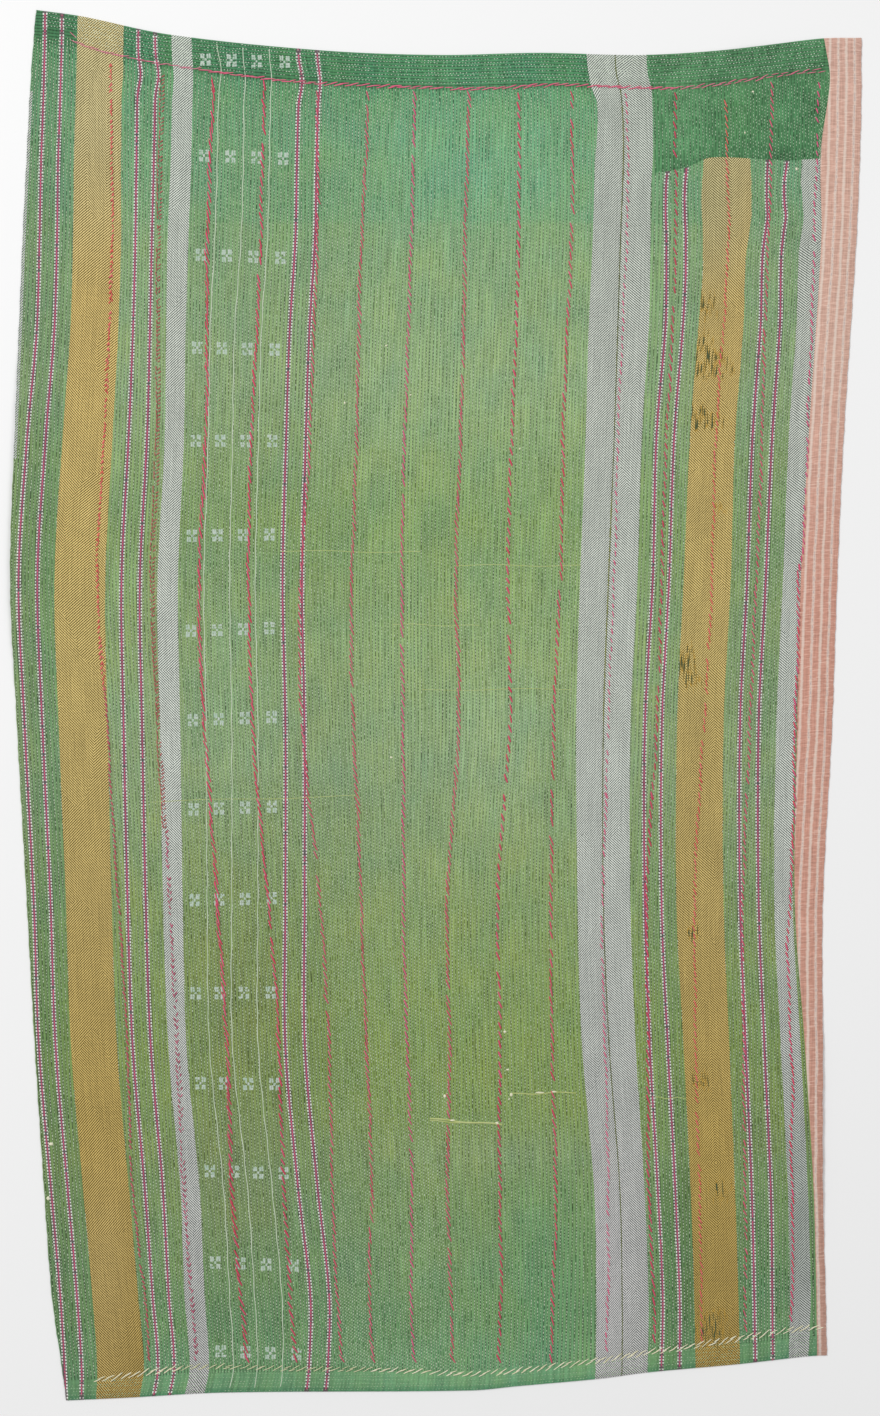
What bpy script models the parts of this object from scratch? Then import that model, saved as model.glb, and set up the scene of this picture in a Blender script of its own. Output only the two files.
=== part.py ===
"""Kantha quilt laid out flat: layers of worn sari cotton held together by rows of running stitch.

The face is pieced from a wide sari length, a border length, a plain corner patch and a side strip.
Metres, +Z up. The origin is under the middle of the quilt, and +Y runs towards its top edge.
The tables are in millimetres: "down" from the highest point of the top edge, "across" from the
quilt's middle, to the right.
"""

import math

import bmesh
import bpy

MM = 0.001

# Thickness of the layers
STITCHED_MM = 1.8  # where a row of stitches draws them together
PUFF_MM = 1.3  # how much higher they stand halfway between two rows
RAW_EDGE_MM = 1.2  # at the outline, which is rolled thin
HEM_MM = 3.7  # where the cloth is turned over and doubled
GAP_MM = 0.3  # between neighbouring pieces

# Rows of bold quilting stitch, counted from the left
LAST_ROW_ON_SARI = 10
FIRST_ROW_ON_BORDER = 12  # row 11 runs in the join between the two lengths
LAST_ROW = 15
BAND_WIDTH_MM = 44  # the border length's first woven band, where the patch begins

# How finely the sheet is divided
STEPS_BETWEEN_ROWS = 4
STEPS_IN_BAND = 2
STEPS_IN_STRIP = 3
STEPS_TO_PATCH_EDGE = 3
STEPS_DOWN_BODY = 31

# Distances from an edge, to points across the hem; the last but one is its stitch line
TOP_HEM_MM = (0, 9, 34, 45, 57)
BOTTOM_HEM_MM = (0, 7, 23, 32, 44)

SECTION_NAMES = (
    "down left row_1 row_5 row_8 row_10 seam row_12 row_15 strip right".split()
)
SECTIONS = (
    (0, -560, -456, -167, 46, 189, 247, 334, 526, 536, 596),
    (60, -565, -456, -167, 46, 189, 252, 334, 534, 546, 595),
    (90, -567, -456, -167, 46, 190, 256, 334, 536, 551, 595),
    (120, -569, -456, -167, 46, 190, 259, 334, 535, 549, 595),
    (200, -573, -455, -167, 44, 190, 261, 335, 530, 538, 593),
    (320, -579, -453, -167, 41, 189, 258, 336, 528, 539, 588),
    (600, -590, -466, -177, 34, 178, 249, 322, 510, 521, 570),
    (800, -596, -474, -190, 28, 173, 241, 316, 500, 510, 561),
    (1000, -587, -461, -187, 31, 165, 234, 308, 496, 505, 554),
    (1250, -573, -444, -163, 16, 160, 234, 295, 491, 502, 541),
    (1450, -562, -433, -149, 18, 163, 242, 296, 496, 516, 541),
    (1650, -549, -424, -146, 16, 167, 257, 298, 499, 528, 541),
    (1800, -538, -408, -139, 21, 163, 260, 304, 499, 532, 545),
    (1946, -518, -399, -126, 22, 159, 258, 304, 498, 534, 548),
)

TOP_EDGE = (
    # across, down
    (-560, 0),
    (-496, 9),
    (-376, 34),
    (-168, 56),
    (0, 63),
    (145, 60),
    (288, 63),
    (415, 55),
    (539, 40),
    (596, 39),
)
BOTTOM_EDGE = (
    # across, down
    (-518, 1946),
    (-430, 1942),
    (-300, 1935),
    (49, 1932),
    (114, 1926),
    (225, 1916),
    (294, 1907),
    (425, 1895),
    (522, 1884),
    (548, 1883),
)
PATCH_EDGE = (
    # across, down
    (302, 229),
    (352, 220),
    (382, 207),
    (441, 208),
    (490, 211),
    (540, 208),
)

FOLD_NAMES = "across down length width height turn".split()
FOLDS = (
    # soft ridges where the cloth lifts; turn is in degrees, 0 along the quilt's length
    (-20, 800, 560, 34, 3.4, 0),  # long crease down the middle
    (-455, 150, 230, 38, 4.6, 28),  # pulled towards the top left corner
    (478, 140, 220, 36, 4.2, -26),  # pulled towards the top right corner
    (-585, 700, 420, 30, 5.0, 2),  # left edge lifts
    (-366, 1735, 190, 26, 3.0, -5),
    (150, 1020, 190, 30, 3.6, 4),
    (330, 1432, 100, 24, 2.4, 90),  # short tuck across the border length
    (255, 1775, 210, 30, 3.4, -14),
    (335, 1800, 170, 26, 3.0, 12),
    (-10, 1740, 180, 32, 2.8, 6),
    (440, 1250, 520, 34, 2.6, -2),
    (-290, 1180, 420, 34, 2.4, 3),
    (548, 1560, 300, 26, 3.2, 0),  # right edge lifts
)
FLAT_BELOW_MM = 0.5  # a ridge lower than this lies on the floor

RIPPLES = (
    # unevenness of the padding: waves across and along the quilt, and height in millimetres
    (5.3, 17.0, 0.10),
    (9.1, 23.0, 0.08),
    (2.7, 31.0, 0.07),
)

FINISHES = {
    # piece: colour (linear), roughness
    "sari_panel": ((0.17, 0.33, 0.16), 0.92),
    "border_panel": ((0.24, 0.31, 0.12), 0.92),
    "corner_patch": ((0.06, 0.25, 0.11), 0.92),
    "side_strip": ((0.66, 0.36, 0.27), 0.90),
}


def through(points, at):
    """Height of a smooth curve through (place, height) points, held level past its ends."""
    if at <= points[0][0]:
        return points[0][1]
    if at >= points[-1][0]:
        return points[-1][1]
    after = next(i for i, (place, _) in enumerate(points) if place > at)
    before = after - 1

    def slope(i):
        low, high = max(i - 1, 0), min(i + 1, len(points) - 1)
        rise = points[high][1] - points[low][1]
        return rise / (points[high][0] - points[low][0])

    (x0, y0), (x1, y1) = points[before], points[after]
    span = x1 - x0
    t = (at - x0) / span
    return (
        y0 * (2 * t**3 - 3 * t**2 + 1)
        + y1 * (3 * t**2 - 2 * t**3)
        + slope(before) * span * (t**3 - 2 * t**2 + t)
        + slope(after) * span * (t**3 - t**2)
    )


def section_line(name):
    column = SECTION_NAMES.index(name)
    return [(section[0], section[column]) for section in SECTIONS]


SECTION_LINES = {name: section_line(name) for name in SECTION_NAMES[1:]}
MEASURED_ROWS = [int(n[4:]) for n in SECTION_NAMES if n.startswith("row_")]


def line_across(name, down):
    """Where a named line crosses the given distance down the quilt."""
    if name in SECTION_LINES:
        return through(SECTION_LINES[name], down)
    if name == "band_edge":
        return line_across("seam", down) + BAND_WIDTH_MM
    row = int(name[4:])
    before = max(r for r in MEASURED_ROWS if r < row)
    after = min(r for r in MEASURED_ROWS if r > row)
    share = (row - before) / (after - before)
    low, high = (line_across(f"row_{r}", down) for r in (before, after))
    return low + (high - low) * share


def lines_in_order():
    """Every line that a column of points follows: (name, whether the layers are drawn together)."""
    on_sari = [(f"row_{r}", True) for r in range(1, LAST_ROW_ON_SARI + 1)]
    on_border = [(f"row_{r}", True) for r in range(FIRST_ROW_ON_BORDER, LAST_ROW + 1)]
    middle = [("seam", True), ("band_edge", False)]
    ends = [("strip", True), ("right", True)]
    return [("left", True)] + on_sari + middle + on_border + ends


def columns_of_points():
    """Columns as (line before, line after, share of the way, puff from 0 to 1)."""
    steps_from = {"seam": STEPS_IN_BAND, "band_edge": STEPS_IN_BAND, "strip": STEPS_IN_STRIP}
    columns = []
    lines = lines_in_order()
    for (name, drawn), (following, next_drawn) in zip(lines, lines[1:]):
        steps = steps_from.get(name, STEPS_BETWEEN_ROWS)
        for step in range(steps):
            share = step / steps
            if drawn and next_drawn:
                puff = math.sin(math.pi * share)
            elif drawn:
                puff = math.sin(math.pi * share / 2)
            else:
                puff = math.cos(math.pi * share / 2)
            columns.append((name, following, share, puff))
    last = lines[-1][0]
    columns.append((last, last, 0.0, 0.0))
    return columns


COLUMNS = columns_of_points()
SEAM_COLUMN = next(i for i, c in enumerate(COLUMNS) if c[0] == "seam")
BAND_COLUMN = next(i for i, c in enumerate(COLUMNS) if c[0] == "band_edge")
STRIP_COLUMN = next(i for i, c in enumerate(COLUMNS) if c[0] == "strip")
PATCH_ROW = len(TOP_HEM_MM) - 1 + STEPS_TO_PATCH_EDGE
LAST_COLUMN = len(COLUMNS) - 1
LAST_POINT_ROW = PATCH_ROW + STEPS_DOWN_BODY + len(BOTTOM_HEM_MM) - 1


def spaced(start, end, steps):
    """Points from start to end, leaving out start itself."""
    return [start + (end - start) * step / steps for step in range(1, steps + 1)]


def depths(across):
    """How far down each row of points lies at this place across."""
    top = through(TOP_EDGE, across)
    bottom = through(BOTTOM_EDGE, across)
    patch = through(PATCH_EDGE, across)
    found = [top + inset for inset in TOP_HEM_MM]
    found += spaced(found[-1], patch, STEPS_TO_PATCH_EDGE)
    found += spaced(patch, bottom - BOTTOM_HEM_MM[-1], STEPS_DOWN_BODY)
    return found + [bottom - inset for inset in reversed(BOTTOM_HEM_MM[:-1])]


def place(column, row):
    """(across, down) of a point of the sheet."""
    name, following, share, _ = COLUMNS[column]
    down = depths(line_across(name, 0))[row]
    for _ in range(3):  # the edges bow, so both measures settle together
        low, high = line_across(name, down), line_across(following, down)
        across = low + (high - low) * share
        down = depths(across)[row]
    return across, down


def lift(across, down):
    """How far the underside stands off the floor."""
    height = 0.0
    for values in FOLDS:
        fold = dict(zip(FOLD_NAMES, values))
        turn = math.radians(fold["turn"])
        right, along = across - fold["across"], down - fold["down"]
        beside = right * math.cos(turn) + along * math.sin(turn)
        on_ridge = along * math.cos(turn) - right * math.sin(turn)
        ridge = math.exp(-((beside / fold["width"]) ** 2))
        ridge *= math.exp(-((on_ridge / (fold["length"] / 2)) ** 4))
        height = max(height, fold["height"] * ridge)
    return max(height - FLAT_BELOW_MM, 0.0)


def ripple(across, down):
    return sum(
        height * math.sin(down / 1000 * along + across / 1000 * waves + height * 40)
        for waves, along, height in RIPPLES
    )


def thickness(column, row, across, down):
    hem_points = len(TOP_HEM_MM) - 2  # from an edge to the hem's stitch line
    from_edge = min(row, LAST_POINT_ROW - row)
    if from_edge == 0 or column in (0, LAST_COLUMN):
        return RAW_EDGE_MM
    if from_edge < hem_points:
        return HEM_MM + ripple(across, down)
    if from_edge == hem_points:
        return STITCHED_MM
    puff = COLUMNS[column][3]
    on_patch_side = row < PATCH_ROW and column == BAND_COLUMN
    on_patch_edge = row == PATCH_ROW and column >= BAND_COLUMN
    if on_patch_side or on_patch_edge:
        puff = 0.0
    return STITCHED_MM + puff * (PUFF_MM + ripple(across, down))


def piece_of(column, row):
    """Which piece owns the cell whose upper left point this is."""
    if column < SEAM_COLUMN:
        return "sari_panel"
    if column >= STRIP_COLUMN:
        return "side_strip"
    if column >= BAND_COLUMN and row < PATCH_ROW:
        return "corner_patch"
    return "border_panel"


def sheet_points():
    """(across, down, underside, top) of every point, before the pieces are parted."""
    points = {}
    for column in range(LAST_COLUMN + 1):
        for row in range(LAST_POINT_ROW + 1):
            across, down = place(column, row)
            under = lift(across, down)
            top = under + thickness(column, row, across, down)
            points[column, row] = (across, down, under, top)
    return points


def middle_of(points):
    acrosses = [p[0] for p in points.values()]
    downs = [p[1] for p in points.values()]
    return (min(acrosses) + max(acrosses)) / 2, (min(downs) + max(downs)) / 2


def sign(value):
    return (value > 0) - (value < 0)


def pulled_back(column, row, cells):
    """Directions, across and down, in which a rim point leaves the gap to its neighbours."""
    across = down = 0
    for right in (0, 1):
        for below in (0, 1):
            if (column - 1 + right, row - 1 + below) not in cells:
                across -= 2 * right - 1
                down -= 2 * below - 1
    return sign(across), sign(down)


def build_piece(name, cells, points, middle):
    mesh = bmesh.new()
    rims = {}
    for column, row in sorted(cells):
        for corner in ((0, 0), (1, 0), (1, 1), (0, 1)):
            key = (column + corner[0], row + corner[1])
            if key in rims:
                continue
            across, down, under, top = points[key]
            back_across, back_down = pulled_back(*key, cells)
            x = (across + back_across * GAP_MM / 2 - middle[0]) * MM
            y = (middle[1] - down - back_down * GAP_MM / 2) * MM
            rims[key] = (mesh.verts.new((x, y, under * MM)), mesh.verts.new((x, y, top * MM)))
    for column, row in sorted(cells):
        ring = [(column, row), (column, row + 1), (column + 1, row + 1), (column + 1, row)]
        beyond = [(column - 1, row), (column, row + 1), (column + 1, row), (column, row - 1)]
        mesh.faces.new([rims[key][1] for key in ring])
        mesh.faces.new([rims[key][0] for key in reversed(ring)])
        for side, neighbour in enumerate(beyond):
            if neighbour not in cells:
                start, end = rims[ring[side]], rims[ring[(side + 1) % 4]]
                mesh.faces.new((start[0], end[0], end[1], start[1]))
    bmesh.ops.triangulate(mesh, faces=mesh.faces)
    data = bpy.data.meshes.new(name)
    mesh.to_mesh(data)
    mesh.free()
    data.shade_smooth()
    data.set_sharp_from_angle(angle=math.radians(50))
    piece = bpy.data.objects.new(name, data)
    bpy.context.scene.collection.objects.link(piece)
    return piece


def cloth_material(name, colour, roughness):
    material = bpy.data.materials.new(f"{name}_cotton")
    material.use_nodes = True
    shader = material.node_tree.nodes["Principled BSDF"]
    shader.inputs["Base Color"].default_value = (*colour, 1.0)
    shader.inputs["Roughness"].default_value = roughness
    shader.inputs["Metallic"].default_value = 0.0
    material.diffuse_color = (*colour, 1.0)
    return material


def main():
    for old in list(bpy.data.objects):
        bpy.data.objects.remove(old, do_unlink=True)
    points = sheet_points()
    middle = middle_of(points)
    cells = {name: set() for name in FINISHES}
    for column in range(LAST_COLUMN):
        for row in range(LAST_POINT_ROW):
            cells[piece_of(column, row)].add((column, row))
    for name, (colour, roughness) in FINISHES.items():
        piece = build_piece(name, cells[name], points, middle)
        piece.data.materials.append(cloth_material(name, colour, roughness))


main()
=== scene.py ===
# Kantha quilt of worn sari cotton, laid out flat: the looks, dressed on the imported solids.
# The tables are in millimetres: "down" from the highest point of the top edge, "across" from the
# quilt's middle line, to the right.
import math
from functools import partial

import bmesh
import bpy
import numpy as np
from mathutils import Matrix, Vector


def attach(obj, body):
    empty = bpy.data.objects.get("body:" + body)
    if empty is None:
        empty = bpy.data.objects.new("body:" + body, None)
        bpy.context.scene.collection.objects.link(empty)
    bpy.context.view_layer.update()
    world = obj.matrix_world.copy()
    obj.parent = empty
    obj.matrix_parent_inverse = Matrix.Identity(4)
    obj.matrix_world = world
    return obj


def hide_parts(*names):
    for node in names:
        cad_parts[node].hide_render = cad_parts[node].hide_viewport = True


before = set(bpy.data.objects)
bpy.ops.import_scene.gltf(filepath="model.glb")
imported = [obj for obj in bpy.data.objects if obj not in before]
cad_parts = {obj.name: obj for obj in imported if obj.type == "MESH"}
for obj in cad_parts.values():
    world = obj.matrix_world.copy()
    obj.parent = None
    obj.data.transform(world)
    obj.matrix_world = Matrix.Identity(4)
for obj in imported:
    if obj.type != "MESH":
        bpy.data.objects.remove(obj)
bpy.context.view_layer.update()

mm = 0.001
scene = bpy.context.scene


# The same driving lines as the solids, with each stitched row where it really wanders
outlineNames = "down left seam strip right".split()
outlineSections = (
    (0, -560, 247, 536, 596), (60, -565, 250, 546, 595), (90, -567, 252, 551, 595),
    (120, -569, 259, 549, 595), (200, -573, 262, 538, 593), (320, -579, 258, 539, 588),
    (600, -590, 249, 521, 570), (800, -596, 241, 510, 561), (1000, -587, 234, 505, 554),
    (1250, -573, 234, 502, 541),
    (1450, -562, 242, 516, 541), (1650, -549, 257, 528, 541), (1800, -538, 260, 532, 545),
    (1900, -524, 260, 533, 547), (1946, -518, 258, 534, 548),
)
rowNames = ["down"] + [f"row{n}" for n in range(1, 16)]
rowSections = (
    # row11 wanders beside the join instead of shaping the padding
    (0, -456, -383, -309, -239, -167, -96, -30, 46, 117, 189, 266, 334, 406, 470, 528),
    (120, -456, -383, -313, -240, -167, -96, -31, 46, 117, 190, 266, 334, 406, 470, 536),
    (320, -453, -389, -319, -246, -167, -104, -34, 41, 115, 189, 267, 336, 408, 464, 528),
    (600, -466, -389, -323, -258, -177, -112, -45, 34, 106, 178, 254, 322, 392, 456, 508),
    (800, -474, -398, -331, -263, -190, -118, -47, 28, 100, 173, 249, 316, 385, 447, 501),
    (1000, -461, -388, -325, -257, -187, -116, -47, 31, 103, 165, 241, 308, 375, 440, 498),
    (1250, -444, -373, -305, -235, -163, -105, -45, 16, 86, 160, 233, 295, 361, 428, 491),
    (1450, -433, -362, -293, -220, -149, -97, -41, 18, 89, 163, 236, 296, 363, 431, 496),
    (1650, -424, -354, -285, -213, -146, -91, -34, 16, 89, 167, 240, 298, 369, 432, 499),
    (1800, -408, -342, -273, -205, -139, -93, -34, 21, 90, 163, 241, 304, 370, 432, 499),
    (1946, -399, -329, -260, -191, -126, -83, -30, 22, 84, 159, 235, 304, 373, 432, 498),
)
edgeRow = (
    # the last row of bold stitches wanders beside the padding's line: down, across
    (91, 537.5), (126, 534), (196, 532), (245, 530), (322, 529), (434, 526.5), (546, 521), (630, 518),
    (742, 513), (798, 507), (854, 507), (910, 507), (966, 502), (1078, 500), (1190, 497.5), (1250, 495),
    (1302, 492.5), (1386, 494.5), (1498, 498), (1610, 496), (1722, 499.5), (1862, 497.5),
)
topEdge = (
    (-560, 0), (-496, 9), (-376, 34), (-168, 56), (0, 63), (145, 60), (288, 63), (415, 55),
    (539, 40), (596, 39),
)
bottomEdge = (
    (-518, 1946), (-430, 1942), (-300, 1935), (49, 1932), (114, 1926), (225, 1916), (294, 1907),
    (425, 1895), (522, 1884), (548, 1883),
)
patchEdge = ((302, 229), (352, 220), (382, 207), (441, 208), (490, 211), (540, 208))
topStitchLine = ((-512, 28), (-500, 38), (-430, 43), (60, 47), (200, 45), (360, 47), (540, 45))  # inset
bottomStitchLine = (
    # inset from the bottom edge, which the cream row does not quite follow
    (-480, 28), (-357, 36), (-190, 33), (-20, 27), (114, 22), (205, 24), (300, 29), (425, 36),
    (545, 40),
)

# Where the woven lines of each length of cloth lie; what the loom made straight has gone wavy
sariWeaveNames = "down pin1 goldEnd greyStart line2 pin5 twinLeft".split()
sariWeave = (
    (0, -547, -437, -372, -273, -193, 210), (60, -548, -438, -370, -271, -193, 210),
    (105, -549, -440, -369, -269, -192, 216), (135, -550, -440, -370, -269, -193, 226),
    (220, -553, -441, -372, -270, -195, 222), (320, -555, -441, -376, -273, -197, 219),
    (450, -559, -445, -378, -282, -205, 213), (600, -572, -453, -380, -285, -210, 209),
    (800, -584, -463, -390, -289, -215, 201), (1000, -576, -460, -387, -286, -211, 196),
    (1250, -563, -454, -382, -286, -211, 198), (1450, -556, -447, -375, -285, -211, 204),
    (1650, -539, -430, -358, -264, -193, 221), (1800, -526, -417, -352, -254, -176, 224),
    (1900, -520, -409, -345, -250, -178, 223), (1946, -518, -416, -354, -258, -183, 221),
)
borderWeaveNames = "down pin7 goldStart goldEnd pin10 greyStart greyEnd".split()
borderWeave = (
    (0, 325, 374, 440, 491, 512, 541), (211, 325, 374, 440, 491, 512, 541),
    (240, 322, 372, 441, 487, 510, 540), (270, 321, 371, 441, 487, 513, 541),
    (290, 321, 372, 441, 489, 514, 542), (312, 322, 373, 438, 486, 511, 542),
    (340, 322, 373, 434, 483, 507, 542), (370, 322, 373, 432, 482, 506, 540),
    (440, 321, 367, 430, 481, 504, 535), (600, 308, 355, 418, 470, 493, 524),
    (800, 303, 346, 412, 461, 485, 513), (1000, 292, 337, 402, 451, 476, 503),
    (1250, 292, 336, 402, 451, 473, 499), (1450, 299, 346, 410, 459, 482, 510),
    (1650, 310, 356, 418, 468, 492, 520), (1800, 317, 361, 423, 470, 495, 524),
    (1900, 315, 363, 425, 471, 493, 520),
)
loomSari = {"pin1": 0, "goldEnd": 114, "greyStart": 185, "line2": 283, "pin5": 357, "twinLeft": 768,
            "seam": 808}
loomBorder = {"seam": 0, "pin7": 59, "goldStart": 108, "goldEnd": 175, "pin10": 224, "greyStart": 246,
              "greyEnd": 273}

bandsOnSari = {
    # across the loom, from the first pinstripe; a band ends with the way its twill leans, 0 for both
    "gold": [(47, 114, 0)], "grey": [(185, 213, 0), (768, 812, 1)],
    "pins": [0, 24.5, 136, 161, 357, 384], "lines": [248, 283, 319], "join": [808],
    "selvedge": [{"rows": 0.75, "middle": 360, "half": 250}],
}
bandsOnBorder = {
    # across the loom, from the join
    "gold": [(108, 175, 0)], "grey": [(-4, 38.5, -1), (246, 273, 0)],
    "pins": [59, 85, 198, 224], "lines": [], "join": [0], "selvedge": [],
}

foldNames = "across down length width height turn".split()
folds = (
    # soft ridges where the cloth lifts off the floor, as in the solids
    (-20, 800, 560, 34, 3.4, 0), (-455, 150, 230, 38, 4.6, 28), (478, 140, 220, 36, 4.2, -26),
    (-585, 700, 420, 30, 5.0, 2), (-366, 1735, 190, 26, 3.0, -5), (150, 1020, 190, 30, 3.6, 4),
    (330, 1432, 100, 24, 2.4, 90), (255, 1775, 210, 30, 3.4, -14), (335, 1800, 170, 26, 3.0, 12),
    (-10, 1740, 180, 32, 2.8, 6), (440, 1250, 520, 34, 2.6, -2), (-290, 1180, 420, 34, 2.4, 3),
    (548, 1560, 300, 26, 3.2, 0),
)
flatBelow = 0.5
creases = (
    # finer creases in the face only: ridges, and troughs with a height below zero
    (-3, 880, 620, 9, -0.9, 0), (-24, 860, 600, 12, 0.7, 0), (-400, 190, 150, 12, -0.9, 24),
    (-430, 140, 120, 10, -0.7, 38), (470, 170, 150, 12, -0.9, -30), (505, 120, 90, 10, 0.7, -18),
    (60, 955, 420, 7, -0.5, 90), (-50, 918, 180, 7, 0.5, 91), (-260, 1090, 340, 8, -0.5, 88),
    (-235, 854, 210, 7, 0.5, 90), (-110, 1519, 250, 9, -0.6, 89), (-365, 1740, 150, 11, -0.8, 7),
    (245, 1700, 190, 12, -0.9, -16), (285, 1790, 170, 11, 0.8, -10), (318, 1750, 150, 10, -0.8, 14),
    (365, 1820, 130, 12, -0.7, 20), (180, 1690, 160, 12, -0.6, -8), (-120, 1800, 150, 12, -0.6, 10),
    (340, 1433, 130, 7, -0.8, 88), (405, 1430, 60, 8, 0.6, 94), (-520, 560, 210, 10, -0.6, 8),
    (-505, 1290, 240, 11, -0.6, -8), (110, 1000, 120, 12, 0.6, 40), (-150, 330, 200, 12, -0.5, -6),
    (90, 300, 220, 14, -0.5, 5), (160, 520, 210, 12, -0.5, -4), (420, 620, 200, 10, -0.6, 4),
)
unevenness = (
    # lumps of the padding: waves across and down (radians a metre), shift, height in millimetres
    (5.3, 17.0, 0.4, 0.16), (9.1, 23.0, 1.7, 0.13), (21.0, 31.0, 2.9, 0.10), (47.0, 64.0, 0.8, 0.08),
    (-33.0, 88.0, 4.1, 0.08), (71.0, -42.0, 5.2, 0.07), (12.0, 131.0, 3.3, 0.08),
    (-18.0, 173.0, 1.1, 0.06),
)

thickness = {
    "stitched": 1.8,  # where a row of stitches draws the layers together
    "puff": 1.3,  # how much higher they stand halfway between two rows
    "groove": 0.35,  # the narrow dent under the bold thread
    "grooveReach": 3,
    "rawEdge": 1.2,
    "edgeReach": 3.2,  # how far inwards the edges are rolled down
    "hem": 3.7,  # the cloth is turned over and doubled
    "hemRamp": 9,
    "hemLineReach": 4,
    "patchSeam": 0.7,
    "patchSeamReach": 4,
    "creaseGain": 1.5,
    "least": 1.0,
}
bandWidth = 44  # from the join to the patch
hemOfPatch = 50  # how far the patch's turned hem reaches below the top edge


def through(points, at):
    # a smooth curve through (place, height) points, held level past its ends
    places = np.array([p[0] for p in points], dtype=float)
    heights = np.array([p[1] for p in points], dtype=float)
    last = len(points) - 1
    order = np.arange(last + 1)
    low = np.maximum(order - 1, 0)
    high = np.minimum(order + 1, last)
    slopes = (heights[high] - heights[low]) / (places[high] - places[low])
    at = np.clip(np.asarray(at, dtype=float), places[0], places[-1])
    before = np.clip(np.searchsorted(places, at, side="right") - 1, 0, last - 1)
    after = before + 1
    span = places[after] - places[before]
    t = (at - places[before]) / span
    return (
        heights[before] * (2 * t**3 - 3 * t**2 + 1)
        + heights[after] * (3 * t**2 - 2 * t**3)
        + slopes[before] * span * (t**3 - 2 * t**2 + t)
        + slopes[after] * span * (t**3 - t**2)
    )


def namedLines(names, sections):
    return {
        name: [(section[0], section[column]) for section in sections]
        for column, name in enumerate(names)
        if name != "down"
    }


lines = namedLines(outlineNames, outlineSections) | namedLines(rowNames, rowSections)
lines["edgeRow"] = edgeRow
sariWoven = namedLines(sariWeaveNames, sariWeave) | {"seam": lines["seam"]}
borderWoven = namedLines(borderWeaveNames, borderWeave) | {"seam": lines["seam"]}


def lineAt(name, down):
    if name == "band":
        return through(lines["seam"], down) + bandWidth
    return through(lines[name], down)


# the padding is drawn down along these
quiltRows = [f"row{n}" for n in range(1, 16)]
drawnLines = ["left"] + quiltRows[:10] + ["seam"] + quiltRows[11:] + ["strip", "right"]
fullLength = 1946
everyDown = np.linspace(0, fullLength, 600)
leftMost = through(lines["left"], everyDown).min()
rightMost = through(lines["right"], everyDown[12:]).max()
middleAcross = (leftMost + rightMost) / 2
middleDown = fullLength / 2
farAway = 1000.0


def softStep(value):
    value = np.clip(value, 0, 1)
    return value * value * (3 - 2 * value)


def blobAt(across, down, place):
    # a soft round patch: place is across, down, half width, half height
    right = (across - place[0]) / place[2]
    along = (down - place[1]) / place[3]
    return np.exp(-(right**2 + along**2))


def ridgeAt(table, across, down, deepest=False):
    # the highest ridge of the table at each place, and the deepest trough where asked
    height = np.zeros_like(across)
    depth = np.zeros_like(across)
    for values in table:
        fold = dict(zip(foldNames, values))
        turn = math.radians(fold["turn"])
        right = across - fold["across"]
        along = down - fold["down"]
        beside = right * math.cos(turn) + along * math.sin(turn)
        onRidge = along * math.cos(turn) - right * math.sin(turn)
        share = onRidge / (fold["length"] / 2)
        ridge = np.exp(-((beside / fold["width"]) ** 2)) * np.exp(-(share**4)) * fold["height"]
        height = np.maximum(height, ridge)
        depth = np.minimum(depth, ridge)
    return height + depth if deepest else height


def surfaceAt(across, down):
    # heights of the underside and of the face, in millimetres
    under = np.maximum(ridgeAt(folds, across, down) - flatBelow, 0)
    placed = [lineAt(name, down) for name in drawnLines]
    puffed = np.zeros_like(across)
    nearest = np.full_like(across, farAway)
    for before, after in zip(placed, placed[1:]):
        share = (across - before) / (after - before)
        inside = (share >= 0) & (share < 1)
        puffed = np.where(inside, np.sin(np.pi * share) ** 0.8, puffed)
    for place in placed:
        nearest = np.minimum(nearest, np.abs(across - place))
    lumps = sum(
        height * np.sin(across * mm * waves + down * mm * alongWaves + shift)
        for waves, alongWaves, shift, height in unevenness
    )
    depth = thickness["stitched"] + puffed * (thickness["puff"] + lumps)
    depth -= thickness["groove"] * np.exp(-((nearest / thickness["grooveReach"]) ** 2))
    fromTop = down - through(topEdge, across)
    fromBottom = through(bottomEdge, across) - down
    patchLine = through(patchEdge, across)
    band = lineAt("band", down)
    besidePatch = np.where(down < patchLine, np.abs(across - band), farAway)
    underPatch = np.where(across > band, np.abs(down - patchLine), farAway)
    fromSeam = np.minimum(besidePatch, underPatch) / thickness["patchSeamReach"]
    depth -= thickness["patchSeam"] * np.exp(-(fromSeam**2))
    for inset, distance in (
        (through(topStitchLine, across), fromTop),
        (through(bottomStitchLine, across), fromBottom),
    ):
        hem = softStep((inset - distance) / thickness["hemRamp"])
        depth = depth * (1 - hem) + (thickness["hem"] + 0.8 * lumps) * hem
        line = np.exp(-(((distance - inset) / thickness["hemLineReach"]) ** 2))
        depth = depth * (1 - line) + thickness["stitched"] * line
    inwards = np.minimum(
        np.minimum(fromTop, fromBottom),
        np.minimum(across - placed[0], placed[-1] - across),
    )
    rolled = np.exp(-((np.maximum(inwards, 0) / thickness["edgeReach"]) ** 2))
    depth = depth * (1 - rolled) + thickness["rawEdge"] * rolled
    creased = thickness["creaseGain"] * ridgeAt(creases, across, down, deepest=True) * (1 - rolled)
    return under, under + np.maximum(depth + creased, thickness["least"])


kinks = (
    # where a hem or a seam pulls the woven lines aside: across, down, shift, half width, half height
    (-405, 92, 5.0, 34, 20), (-305, 86, 4.5, 24, 22), (-268, 92, 2.0, 20, 20), (-188, 100, 4.5, 36, 22),
)


def kinkAt(across, down):
    return sum(blobAt(across, down, (x, y, wide, high)) * shift for x, y, shift, wide, high in kinks)


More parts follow.
